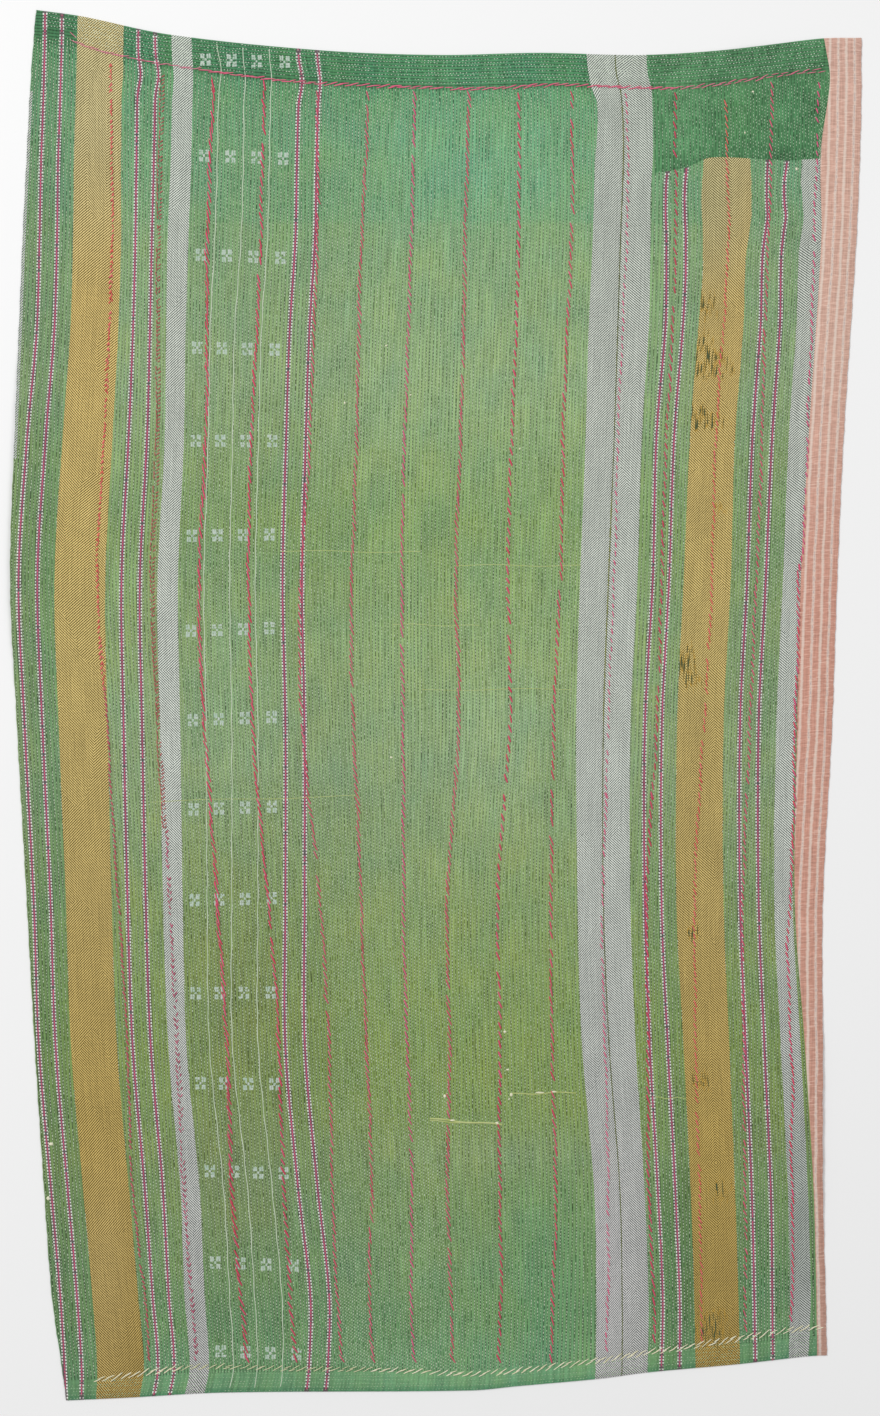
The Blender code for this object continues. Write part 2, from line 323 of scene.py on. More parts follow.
def loomPlace(woven, loom, across, down):
    # across the loom, in millimetres, from a place on the quilt
    names = list(loom)
    across = across - kinkAt(across, down)
    placed = [through(woven[name], down) for name in names]
    found = loom[names[0]] + (across - placed[0])
    for (name, following), (before, after) in zip(zip(names, names[1:]), zip(placed, placed[1:])):
        share = (across - before) / (after - before)
        here = loom[name] + (loom[following] - loom[name]) * share
        found = np.where(share >= 0, here, found)
    return found


def loomHere(across, down):
    # whether a place is on the sari panel, and its place across its own loom
    onSari = across < lineAt("seam", down)
    sari = loomPlace(sariWoven, loomSari, across, down)
    return onSari, np.where(onSari, sari, loomPlace(borderWoven, loomBorder, across, down))


def quiltAcross(woven, loom, place, down):
    # the other way round: where a loom line runs on the quilt
    names = list(loom)
    placed = [through(woven[name], down) for name in names]
    if place <= loom[names[0]]:
        return placed[0] + place - loom[names[0]]
    index = max(i for i, name in enumerate(names[:-1]) if loom[name] <= place)
    low, high = loom[names[index]], loom[names[index + 1]]
    across = placed[index] + (placed[index + 1] - placed[index]) * (place - low) / (high - low)
    return across + kinkAt(across, down)


loomLength = 1890


def weftPlace(across, down):
    # along the loom: weft threads follow the bowed top edge and the slanted bottom edge
    top = through(topEdge, across)
    bottom = through(bottomEdge, across)
    return (down - top) / (bottom - top) * loomLength


runningRows = {
    # how many fine rows run between one drawn line and the next
    "left": 26, "row10": 17, "seam": 14, "row15": 4, "strip": 8, "others": 16,
}
stitchPitch = 4.4
rowShift = 0.37  # each fine row starts this share of a pitch below the one beside it
laneShades = (
    # the cloth keeps more of its dye between the bands: loom place, how light it is
    (-30, 0.70), (10, 0.74), (30, 0.78), (52, 0.84), (125, 0.90), (175, 0.92), (215, 0.86),
    (345, 0.88), (385, 0.88), (430, 0.92), (500, 1.0), (720, 1.0), (860, 0.96), (900, 0.88),
    (1050, 0.86), (1100, 0.82),
)


def rowNumber(across, down):
    # counts the fine rows from the left edge; a row lies at each half number
    placed = [lineAt(name, down) for name in drawnLines]
    found = np.zeros_like(across)
    base = 0
    for name, before, after in zip(drawnLines, placed, placed[1:]):
        count = runningRows.get(name, runningRows["others"])
        share = (across - before) / (after - before)
        found = np.where(share >= 0, base + np.minimum(share, 1) * count, found)
        base += count
    return found


def linear(hexColour):
    # sRGB hex to linear red, green, blue
    parts = [int(hexColour[i:i + 2], 16) / 255 for i in (1, 3, 5)]
    return tuple(c / 12.92 if c <= 0.04045 else ((c + 0.055) / 1.055) ** 2.4 for c in parts)


def colour(hexColour):
    return (*linear(hexColour), 1.0)


# How the dye has faded, from the top edge down: (down, colour)
groundFade = (
    (0, "#488058"), (44, "#488058"), (52, "#5A9166"), (84, "#66986D"), (130, "#6B9C71"), (230, "#719C72"),
    (340, "#7F9F71"), (520, "#88A375"), (720, "#7E9A62"), (900, "#859F6C"), (1060, "#88A072"),
    (1250, "#80975F"), (1450, "#7B9353"), (1600, "#7A9158"), (1740, "#71905E"), (1850, "#668D5E"),
    (1900, "#6A9468"), (1938, "#659068"), (1946, "#4C8660"),
)
goldFade = (
    (0, "#ADA373"), (180, "#ADA170"), (400, "#B39D5E"), (860, "#B09D5F"), (1250, "#A99558"),
    (1600, "#A68F4C"), (1946, "#957F42"),
)
greyFade = ((0, "#A9AEA5"), (500, "#AEB1A9"), (1100, "#B2B5AE"), (1500, "#ABACA8"), (1946, "#A4A3A1"))
groundStainsAndShade = (
    # stains and faded patches of the ground, and painted shade of a fold on the border panel near the
    # bottom: across, down, half width, half height, colour, strength
    (75, 1020, 60, 80, "#8FAB82", 0.5), (-290, 940, 60, 170, "#86AC82", 0.4),
    (60, 1480, 170, 90, "#7C9150", 0.45), (-120, 1470, 120, 80, "#788F50", 0.4),
    # (330, 1760) here, (445, 1780) below and (347, 1736) further down are painted shade of the fold on
    # the border panel near the bottom
    (150, 1760, 60, 150, "#5A8C62", 0.6), (330, 1760, 30, 190, "#557C4E", 0.8),
    (445, 1780, 22, 150, "#578055", 0.6), (165, 1060, 22, 60, "#6F8F64", 0.6),
    (60, 210, 120, 90, "#6AA37F", 0.5), (-180, 240, 110, 70, "#6F9C70", 0.5),
    (-270, 1400, 90, 130, "#7A8450", 0.5), (-275, 1640, 80, 110, "#7A8860", 0.45),
    (-385, 840, 16, 160, "#8A9068", 0.6), (-540, 1000, 40, 700, "#5F8E60", 0.55),
    (310, 500, 26, 320, "#7A9C6C", 0.5), (445, 900, 30, 420, "#76966A", 0.5),
    (310, 1240, 26, 150, "#6C8C5C", 0.55), (-120, 720, 150, 60, "#76965E", 0.35),
    (110, 700, 160, 90, "#7E9C62", 0.35), (90, 1600, 170, 30, "#869B6E", 0.5),
    (-150, 1740, 90, 130, "#6B9168", 0.4),
    (-90, 1110, 110, 90, "#74906A", 0.5), (347, 1736, 18, 130, "#5C7A4A", 0.7),
    (466, 960, 14, 60, "#6E8E60", 0.5),
)
goldStains = ((390, 270, 40, 120, "#A0996C", 0.85), (-463, 1760, 40, 170, "#A9945A", 0.7))
# the darker grey patch at (509, 1690) is painted shade of the fold near the bottom right; the other is a
# lighter patch
greyStainsAndShade = ((509, 1690, 26, 170, "#8C928B", 0.85), (236, 1750, 44, 150, "#B5B1B2", 0.8))
patchStains = (
    (345, 150, 34, 70, "#588A5E", 0.8), (480, 205, 60, 26, "#406E48", 0.8),
    (425, 150, 24, 40, "#4F7F50", 0.6), (500, 130, 30, 50, "#467850", 0.6),
)
wornPlaces = (
    # the mustard band beside the patch has lost threads here: across, down, half width, half height
    (375, 412, 26, 26), (368, 480, 30, 34), (392, 500, 34, 20), (352, 566, 26, 22), (385, 575, 34, 16),
    (352, 930, 22, 30), (350, 900, 14, 16), (385, 1846, 38, 44), (398, 1650, 20, 26), (372, 1500, 18, 20),
    (360, 1290, 14, 24), (395, 700, 14, 16),
)


def fadeAt(table, down):
    channels = [linear(shade) for _, shade in table]
    depths = [place for place, _ in table]
    return np.stack([np.interp(down, depths, [c[i] for c in channels]) for i in range(3)], axis=-1)


def stainedAndShaded(shade, stainsAndShade, across, down):
    # soft patches laid over a colour: real stains, and painted shade of folds where a table holds it
    for blot in stainsAndShade:
        strength = (blobAt(across, down, blot) * blot[5])[..., None]
        shade = shade * (1 - strength) + np.array(linear(blot[4])) * strength
    return shade


def groundAt(across, down):
    fromTop = down - through(topEdge, across)
    fromBottom = through(bottomEdge, across) - down
    level = np.where(down < 900, fromTop, fullLength - fromBottom)
    level = np.where((down >= 300) & (down <= 1600), down, level)
    shade = stainedAndShaded(fadeAt(groundFade, level), groundStainsAndShade, across, down)
    onSari, lane = loomHere(across, down)
    lane = np.where(onSari, lane, lane + loomSari["seam"])
    return shade * np.interp(lane, *zip(*laneShades))[..., None]


def feed(tree, node, inputs):
    # each input gets a value, or a link from a socket or from a node's first open output
    for socket, value in inputs.items():
        if isinstance(value, bpy.types.Node):
            value = next(output for output in value.outputs if output.enabled)
        if isinstance(value, bpy.types.NodeSocket):
            tree.links.new(value, node.inputs[socket])
        else:
            node.inputs[socket].default_value = value


def addNode(tree, kind, *inputs, **settings):
    # one node with its settings and its inputs, which come in order or in a dictionary
    node = tree.nodes.new(kind)
    for name, value in settings.items():
        setattr(node, name, value)
    named = inputs and isinstance(inputs[0], dict)
    feed(tree, node, inputs[0] if named else dict(enumerate(inputs)))
    return node


def newFinish(name, roughness, sheen=0.0):
    material = bpy.data.materials.new(name)
    material.use_nodes = True
    tree = material.node_tree
    shader = tree.nodes["Principled BSDF"]
    feed(tree, shader, {
        "Roughness": roughness, "Metallic": 0.0, "Specular IOR Level": 0.2,
        "Sheen Weight": sheen, "Sheen Roughness": 0.6,
    })
    return material, partial(addNode, tree), shader


def newCloth(name, roughness, sheen):
    # a finish, and what every cloth reads: its place on the loom, its stitched rows and its faded dye
    material, add, _ = newFinish(name, roughness, sheen)
    cloth, rows = (add("ShaderNodeUVMap", uv_map=layer).outputs[0] for layer in ("cloth", "rows"))
    ground = add("ShaderNodeAttribute", attribute_name="groundShade").outputs[0]
    return material, add, cloth, rows, ground


def feedCloth(material, add, surface, relief, depth=0.0006):
    # a cloth's colour and its bump go to its shader
    tree = material.node_tree
    bump = add("ShaderNodeBump", {"Strength": weave["bump"], "Distance": depth, "Height": relief})
    feed(tree, tree.nodes["Principled BSDF"], {"Base Color": surface, "Normal": bump})
    return material


weave = {
    # a warp thread is about 0.5 mm wide; streaks and grain are drawn coarser so that they show
    "streakAcross": 2.6,
    "streakAlong": 80.0,
    "grain": 2.8,
    "goldTwill": 3.75,  # repeat of the diagonals, across and along
    "greyTwill": 3.65,
    "pinWidth": 6.4,
    "joinWidth": 1.4,
    # the next is painted shade: how much darker the colour is painted along each row of stitches
    "rowLine": 0.66,  # how much darker the cloth is where a row of stitches pulls it in
    "bump": 0.5,
}


def clothTexture(add, place, scaleAcross, scaleAlong, detail=1.0, shift=0.0):
    # noise over the cloth, its grain given in millimetres across and along
    grain = add("ShaderNodeMapping", {
        "Vector": place, "Location": (shift, shift * 1.7, 0),
        "Scale": (1000 / scaleAcross, 1000 / scaleAlong, 1),
    })
    return add("ShaderNodeTexNoise", {"Vector": grain, "Scale": 1.0, "Detail": detail})


def brightness(add, base, parts):
    # base + the sum of (noise - 0.5) * strength, for shading a colour
    total = base
    for texture, strength in parts:
        centred = add("ShaderNodeMath", texture, 0.5, operation="SUBTRACT")
        total = add("ShaderNodeMath", centred, strength, total, operation="MULTIPLY_ADD")
    return total


def layered(add, surface, *layers):
    # colours laid over one another, each as its share and its colour
    for share, over in layers:
        inputs = {0: share, 6: surface, 7: over}
        surface = add("ShaderNodeMix", inputs, data_type="RGBA", clamp_factor=True)
    return surface


def rowShadeAndDent(add, rows):
    # painted shade and a dent: the darker line that a row of running stitches draws in the cloth, deepest
    # between two stitches; it darkens the colour and also feeds the bump
    place = add("ShaderNodeSeparateXYZ", rows)
    turn = add("ShaderNodeMath", place, 2 * math.pi, operation="MULTIPLY")
    wave = add("ShaderNodeMath", turn, operation="COSINE")
    line = add("ShaderNodeMapRange", wave, -0.1, -0.9)
    number = add("ShaderNodeMath", place, operation="FLOOR")
    start = add("ShaderNodeMath", number, -rowShift, operation="MULTIPLY")
    perMetre = 1 / (stitchPitch * mm)
    along = add("ShaderNodeMath", place.outputs[1], perMetre, start, operation="MULTIPLY_ADD")
    turn = add("ShaderNodeMath", along, 2 * math.pi, operation="MULTIPLY")
    wave = add("ShaderNodeMath", turn, operation="COSINE")
    gap = add("ShaderNodeMapRange", wave, 0.3, -0.8, 0.85, 1.0)
    return add("ShaderNodeMath", line, gap, operation="MULTIPLY")


def twillSlope(add, turns, way):
    # 1 leans like a slash, -1 the other way; a band that leans both ways changes where the noise does
    limit = 0.5 + 0.17 * abs(way)
    turned = add("ShaderNodeMath", turns, limit, operation="GREATER_THAN")
    start = float(way) if way else -1.0
    return add("ShaderNodeMath", turned, -2 * start, start, operation="MULTIPLY_ADD")


def twillFloats(add, axes, slope, pitch):
    # staggered pale floats that line up into diagonals, one way stronger than the other
    turn = 2 * math.pi * 1000 / pitch
    across = add("ShaderNodeMath", axes.outputs[0], turn, operation="MULTIPLY")
    along = add("ShaderNodeMath", axes.outputs[1], turn, operation="MULTIPLY")
    strong = add("ShaderNodeMath", along, slope, across, operation="MULTIPLY_ADD")
    leaning = add("ShaderNodeMath", along, slope, operation="MULTIPLY")
    weak = add("ShaderNodeMath", across, leaning, operation="SUBTRACT")
    strong = add("ShaderNodeMath", strong, operation="COSINE")
    weak = add("ShaderNodeMath", weak, operation="COSINE")
    total = add("ShaderNodeMath", strong, 0.85, 0.5, operation="MULTIPLY_ADD")
    return add("ShaderNodeMath", weak, 0.34, total, operation="MULTIPLY_ADD")


def wovenCotton(name, bands):
    # handloom sari cotton: plain weave ground, twill bands and checked pinstripes, washed and matt
    material, add, cloth, rows, ground = newCloth(name, 0.9, 0.1)
    axes = add("ShaderNodeSeparateXYZ", cloth)
    wobble = brightness(add, axes.outputs[0], [(clothTexture(add, cloth, 12, 9), 0.0016)])

    warp = clothTexture(add, cloth, weave["streakAcross"], weave["streakAlong"], 2.0)
    weft = clothTexture(add, cloth, 32, weave["streakAcross"], 2.0, 3.1)
    patches = clothTexture(add, cloth, 50, 70, 3.0, 7.7)
    grain = clothTexture(add, cloth, weave["grain"], weave["grain"], 1.0, 5.3)
    shadeAndDent = rowShadeAndDent(add, rows)
    light = brightness(add, 1.15, [(warp, 1.2), (weft, 0.5), (patches, 0.25), (grain, 0.6)])
    # painted shade along each row of running stitches, darkest between two stitches
    light = add("ShaderNodeMath", shadeAndDent, -weave["rowLine"], light, operation="MULTIPLY_ADD")
    yellowed = add("ShaderNodeVectorMath", ground, (1.06, 0.99, 0.86), operation="MULTIPLY")
    blued = add("ShaderNodeVectorMath", ground, (0.93, 1.0, 1.08), operation="MULTIPLY")
    threads = clothTexture(add, cloth, 5.0, 90, 1.0, 6.1)
    olive = add("ShaderNodeMapRange", brightness(add, patches, [(threads, 0.35)]), 0.25, 0.75)
    ground = layered(add, blued, (olive, yellowed))
    surface = add("ShaderNodeVectorMath", {0: ground, "Scale": light}, operation="SCALE")

    # twill bands: the diagonals change their way every so often
    turns = clothTexture(add, cloth, 55, 130, 0.0, 11.3)
    bandLight = brightness(add, 1.0, [(patches, 0.3), (weft, 0.3), (warp, 0.3)])
    worn = add("ShaderNodeAttribute", attribute_name="worn").outputs[2]
    lost = clothTexture(add, cloth, 2.2, 26, 1.0, 2.2)
    lostHere = add("ShaderNodeMath", worn, 0.42, lost, operation="MULTIPLY_ADD")
    bright = add("ShaderNodeMapRange", lostHere, 0.84, 0.94)
    dulled = add("ShaderNodeMapRange", lostHere, 0.91, 0.97)
    floats, twilled = None, 0.0
    for band, pale, dark in (
        ("gold", (1.82, 1.82, 2.05), (0.20, 0.18, 0.06)),
        ("grey", (1.78, 1.80, 1.78), (0.16, 0.20, 0.19)),
    ):
        shade = add("ShaderNodeAttribute", attribute_name=band + "Shade").outputs[0]
        light = add("ShaderNodeVectorMath", shade, pale, operation="MULTIPLY")
        deep = add("ShaderNodeVectorMath", shade, dark, operation="MULTIPLY")
        for left, right, way in bands[band]:
            floats = twillFloats(add, axes, twillSlope(add, turns, way), weave[band + "Twill"])
            floats = brightness(add, floats, [(grain, 0.7), (warp, 0.3)])
            floats = add("ShaderNodeMath", floats, 0.0, operation="ADD", use_clamp=True)
            cover = layered(add, deep, (floats, light))
            cover = add("ShaderNodeVectorMath", {0: cover, "Scale": bandLight}, operation="SCALE")
            if band == "gold":
                cover = layered(add, cover, (bright, colour("#B98E2C")), (dulled, colour("#4A5436")))
            middle, half = (left + right) / 2 * mm, (right - left) / 2 * mm
            inside = add("ShaderNodeMath", wobble, middle, half, operation="COMPARE")
            surface = layered(add, surface, (inside, cover))
            inside = add("ShaderNodeMath", inside, floats, operation="MULTIPLY")
            twilled = add("ShaderNodeMath", inside, twilled, operation="ADD")

    # the dark beds of the pinstripes and of the join, under their threads
    pinSpots = clothTexture(add, cloth, 9, 30, 1.0, 9.1)
    joinSpots = clothTexture(add, cloth, 9, 60, 1.0, 4.4)
    pinBed = layered(add, colour("#4A5650"), (pinSpots, colour("#6E505A")))
    joinBed = layered(add, colour("#3E4A3A"), (joinSpots, colour("#7C8040")))
    for kind, bed, width in (("pins", pinBed, weave["pinWidth"]), ("join", joinBed, weave["joinWidth"])):
        for place in bands[kind]:
            inside = add("ShaderNodeMath", wobble, place * mm, width / 2 * mm, operation="COMPARE")
            surface = layered(add, surface, (inside, bed))
    for edge in bands["selvedge"]:
        # the loom edge still shows as a checked black and white cord for part of the length
        rowAxes = add("ShaderNodeSeparateXYZ", rows)
        beside = add("ShaderNodeMath", rowAxes, 0.2, edge["rows"], operation="COMPARE")
        middle, half = edge["middle"] * mm, edge["half"] * mm
        along = add("ShaderNodeMath", axes.outputs[1], middle, half, operation="COMPARE")
        inside = add("ShaderNodeMath", beside, along, operation="MULTIPLY")
        corded = layered(add, colour("#3C4A44"), (floats, colour("#C9CDC6")))
        surface = layered(add, surface, (inside, corded))

    relief = add("ShaderNodeMath", shadeAndDent, -1.2, warp, operation="MULTIPLY_ADD")
    relief = add("ShaderNodeMath", grain, 0.9, relief, operation="MULTIPLY_ADD")
    relief = add("ShaderNodeMath", twilled, 0.8, relief, operation="MULTIPLY_ADD")
    return feedCloth(material, add, surface, relief)


def plainCotton(name):
    # plain dyed cotton, deeper than the saris and stitched as closely
    material, add, cloth, rows, ground = newCloth(name, 0.9, 0.1)
    warp = clothTexture(add, cloth, weave["streakAcross"], 30, 2.0)
    weft = clothTexture(add, cloth, 30, weave["streakAcross"], 2.0, 3.1)
    smudges = clothTexture(add, cloth, 34, 30, 3.0, 1.9)
    grain = clothTexture(add, cloth, weave["grain"], weave["grain"], 1.0, 5.3)
    shadeAndDent = rowShadeAndDent(add, rows)
    light = brightness(add, 1.12, [(warp, 1.4), (weft, 0.5), (smudges, 0.9), (grain, 0.7)])
    # painted shade along each row of running stitches, darkest between two stitches
    light = add("ShaderNodeMath", shadeAndDent, -0.5, light, operation="MULTIPLY_ADD")
    surface = add("ShaderNodeVectorMath", {0: ground, "Scale": light}, operation="SCALE")
    relief = add("ShaderNodeMath", grain, 0.9, warp, operation="MULTIPLY_ADD")
    relief = add("ShaderNodeMath", shadeAndDent, -1.2, relief, operation="MULTIPLY_ADD")
    return feedCloth(material, add, surface, relief)


stripedStrip = {
    "stripes": (9.5, 21, 32.5, 44.5, 56),  # cream stripes, from the right edge
    "cored": (9.5, 32.5, 56),  # those with a thin grey core
    "stripeWidth": 4.4,
    "fade": ((0, "#C9A192"), (200, "#CCA392"), (480, "#CCA594"), (820, "#C79280"), (1250, "#C69280"),
             (1650, "#BA8C7B"), (1946, "#B68F80")),
}


def stripCotton(name):
    # thin salmon cotton with cream stripes along it and paler threads across
    material, add, cloth, rows, ground = newCloth(name, 0.88, 0.15)
    axes = add("ShaderNodeSeparateXYZ", cloth)
    wobble = brightness(
        add, axes.outputs[0],
        [(clothTexture(add, cloth, 30, 60), 0.004), (clothTexture(add, cloth, 5, 5, 1.0, 2.7), 0.002)],
    )
    warp = clothTexture(add, cloth, 1.4, 50, 2.0)
    weft = clothTexture(add, cloth, 60, 2.2, 2.0, 3.1)
    grain = clothTexture(add, cloth, 12.0, 1.9, 1.0, 5.3)
    light = brightness(add, 0.96, [(warp, 0.6), (weft, 0.4), (grain, 0.6)])
    surface = add("ShaderNodeVectorMath", {0: ground, "Scale": light}, operation="SCALE")
    cream = layered(add, colour("#CDBAAC"), (grain, colour("#EBDFD3")))
    broken = clothTexture(add, cloth, 3.0, 4.5, 0.0, 8.3)
    broken = add("ShaderNodeMapRange", broken, 0.42, 0.58, 0.0, 0.6)
    for place in stripedStrip["stripes"]:
        off = add("ShaderNodeMath", wobble, place * mm, operation="SUBTRACT")
        off = add("ShaderNodeMath", off, operation="ABSOLUTE")
        edge = (stripedStrip["stripeWidth"] / 2 + 0.5) * mm
        inside = add("ShaderNodeMapRange", off, edge, 0.8 * mm, 0.0, 0.72)
        surface = layered(add, surface, (inside, cream))
        if place in stripedStrip["cored"]:
            core = add("ShaderNodeMapRange", off, 0.9 * mm, 0.3 * mm, 0.0, broken)
            surface = layered(add, surface, (core, colour("#A4979A")))
    bar = add("ShaderNodeMapRange", grain, 0.56, 0.72, 0.0, 0.3)
    surface = layered(add, surface, (bar, colour("#E2CFC0")))
    relief = add("ShaderNodeMath", grain, 0.9, weft, operation="MULTIPLY_ADD")
    return feedCloth(material, add, surface, relief, 0.0005)


def threadFinish(name, main, other=None, grain=14.0):
    # twisted cotton thread; where it has faded unevenly, a second colour comes and goes along it
    material, add, shader = newFinish(name, 0.75, sheen=0.2)
    shader.inputs["Base Color"].default_value = colour(main)
    if other:
        place = add("ShaderNodeTexCoord").outputs["Object"]
        fade = add("ShaderNodeTexNoise", {"Vector": place, "Scale": 1000 / grain, "Detail": 2.0})
        share = add("ShaderNodeMapRange", fade, 0.35, 0.65)
        faded = layered(add, colour(main), (share, colour(other)))
        feed(material.node_tree, shader, {"Base Color": faded})
    return material


hemDashes = {"rows": 9, "apart": 4.5, "first": 3, "from": -545, "to": 536, "wave": 0.8}
hemStitch = {"pitch": 4.4, "length": 2.3, "width": 1.2, "height": 0.5, "uneven": 0.3, "missing": 0.12}

# The grid of the sheet: columns between the drawn lines, rows between the edges
columnSteps = {"left": 16, "seam": 7, "band": 6, "row15": 3, "strip": 7, "others": 11}
topInsets = (0, 1.5, 4, 9, 16, 24, 32, 38, 42, 45, 49, 56)
bottomInsets = (44, 37, 32, 28, 23, 15, 9, 4, 1.5, 0)
topHemCells = 9  # the fine rows run along the hems in these
bottomHemCells = 7
stepsToPatch = 19
stepsDown = 206

gridLines = drawnLines.copy()
gridLines.insert(gridLines.index("seam") + 1, "band")


def gridColumns():
    columns = []
    for name, following in zip(gridLines, gridLines[1:]):
        steps = columnSteps.get(name, columnSteps["others"])
        columns += [(name, following, step / steps) for step in range(steps)]
    return columns + [("strip", "right", 1.0)]


def gridRows():
    # each row of points as shares of the top, patch and bottom edges, and an inset
    rows = [(1.0, 0.0, 0.0, inset) for inset in topInsets]
    for step in range(1, stepsToPatch + 1):
        share = step / stepsToPatch
        rows.append((1 - share, share, 0.0, topInsets[-1] * (1 - share)))
    for step in range(1, stepsDown + 1):
        share = step / stepsDown
        rows.append((0.0, 1 - share, share, -bottomInsets[0] * share))
    return rows + [(0.0, 0.0, 1.0, -inset) for inset in bottomInsets[1:]]


def gridPlaces(columns, rows):
    # (across, down) of every point; both settle together because the edges bow
    shares = np.array(rows)[:, :, None]

    def downAt(across):
        return (
            shares[:, 0] * through(topEdge, across) + shares[:, 1] * through(patchEdge, across)
            + shares[:, 2] * through(bottomEdge, across) + shares[:, 3]
        )

    def acrossAt(down):
        placed = {name: lineAt(name, down) for name in gridLines}
        across = np.zeros_like(down)
        for column, (name, following, share) in enumerate(columns):
            low = placed[name][:, column]
            across[:, column] = low + (placed[following][:, column] - low) * share
        return across

    start = np.array([[float(lineAt(name, 0.0)) for name, _, _ in columns]])
    down = downAt(np.repeat(start, len(rows), axis=0))
    for _ in range(4):
        across = acrossAt(down)
        down = downAt(across)
    return across, down


def toWorld(across, down, height):
    return np.stack([(across - middleAcross) * mm, (middleDown - down) * mm, height * mm], axis=-1)


columns = gridColumns()
rows = gridRows()
gridAcross, gridDown = gridPlaces(columns, rows)
firstNames = [column[0] for column in columns]
columnOf = {name: firstNames.index(name) for name in ("seam", "band", "strip")}
patchRow = len(topInsets) - 1 + stepsToPatch
cellRow, cellColumn = np.indices((len(rows) - 1, len(columns) - 1))
onStrip = cellColumn >= columnOf["strip"]
onSari = cellColumn < columnOf["seam"]
onPatch = (cellColumn >= columnOf["band"]) & (cellRow < patchRow) & ~onStrip
cellsOf = {
    "sari_panel": onSari,
    "border_panel": ~onSari & ~onStrip & ~onPatch,
    "corner_patch": onPatch,
    "side_strip": onStrip,
}
# edges are never quite straight
fray = 0.3 * np.sin(gridDown * 0.43) + 0.3 * np.sin(gridDown * 0.117 + 2.0)
gridAcross[:, 0] += fray[:, 0]
gridAcross[:, -1] += fray[:, -1]
gridUnder, gridTop = surfaceAt(gridAcross, gridDown)


def addPiece(name, mesh):
    piece = bpy.data.objects.new(name, mesh)
    scene.collection.objects.link(piece)
    return piece


def addLayer(mesh, name, across, along):
    layer = mesh.uv_layers.new(name=name, do_init=False)
    layer.data.foreach_set("uv", np.stack([across, along], axis=-1).astype(np.float32).ravel())


def addShade(mesh, name, shade):
    attribute = mesh.attributes.new(name, "FLOAT_COLOR", "POINT")
    filled = np.concatenate([shade, np.ones((len(shade), 1))], axis=1)
    attribute.data.foreach_set("color", filled.astype(np.float32).ravel())


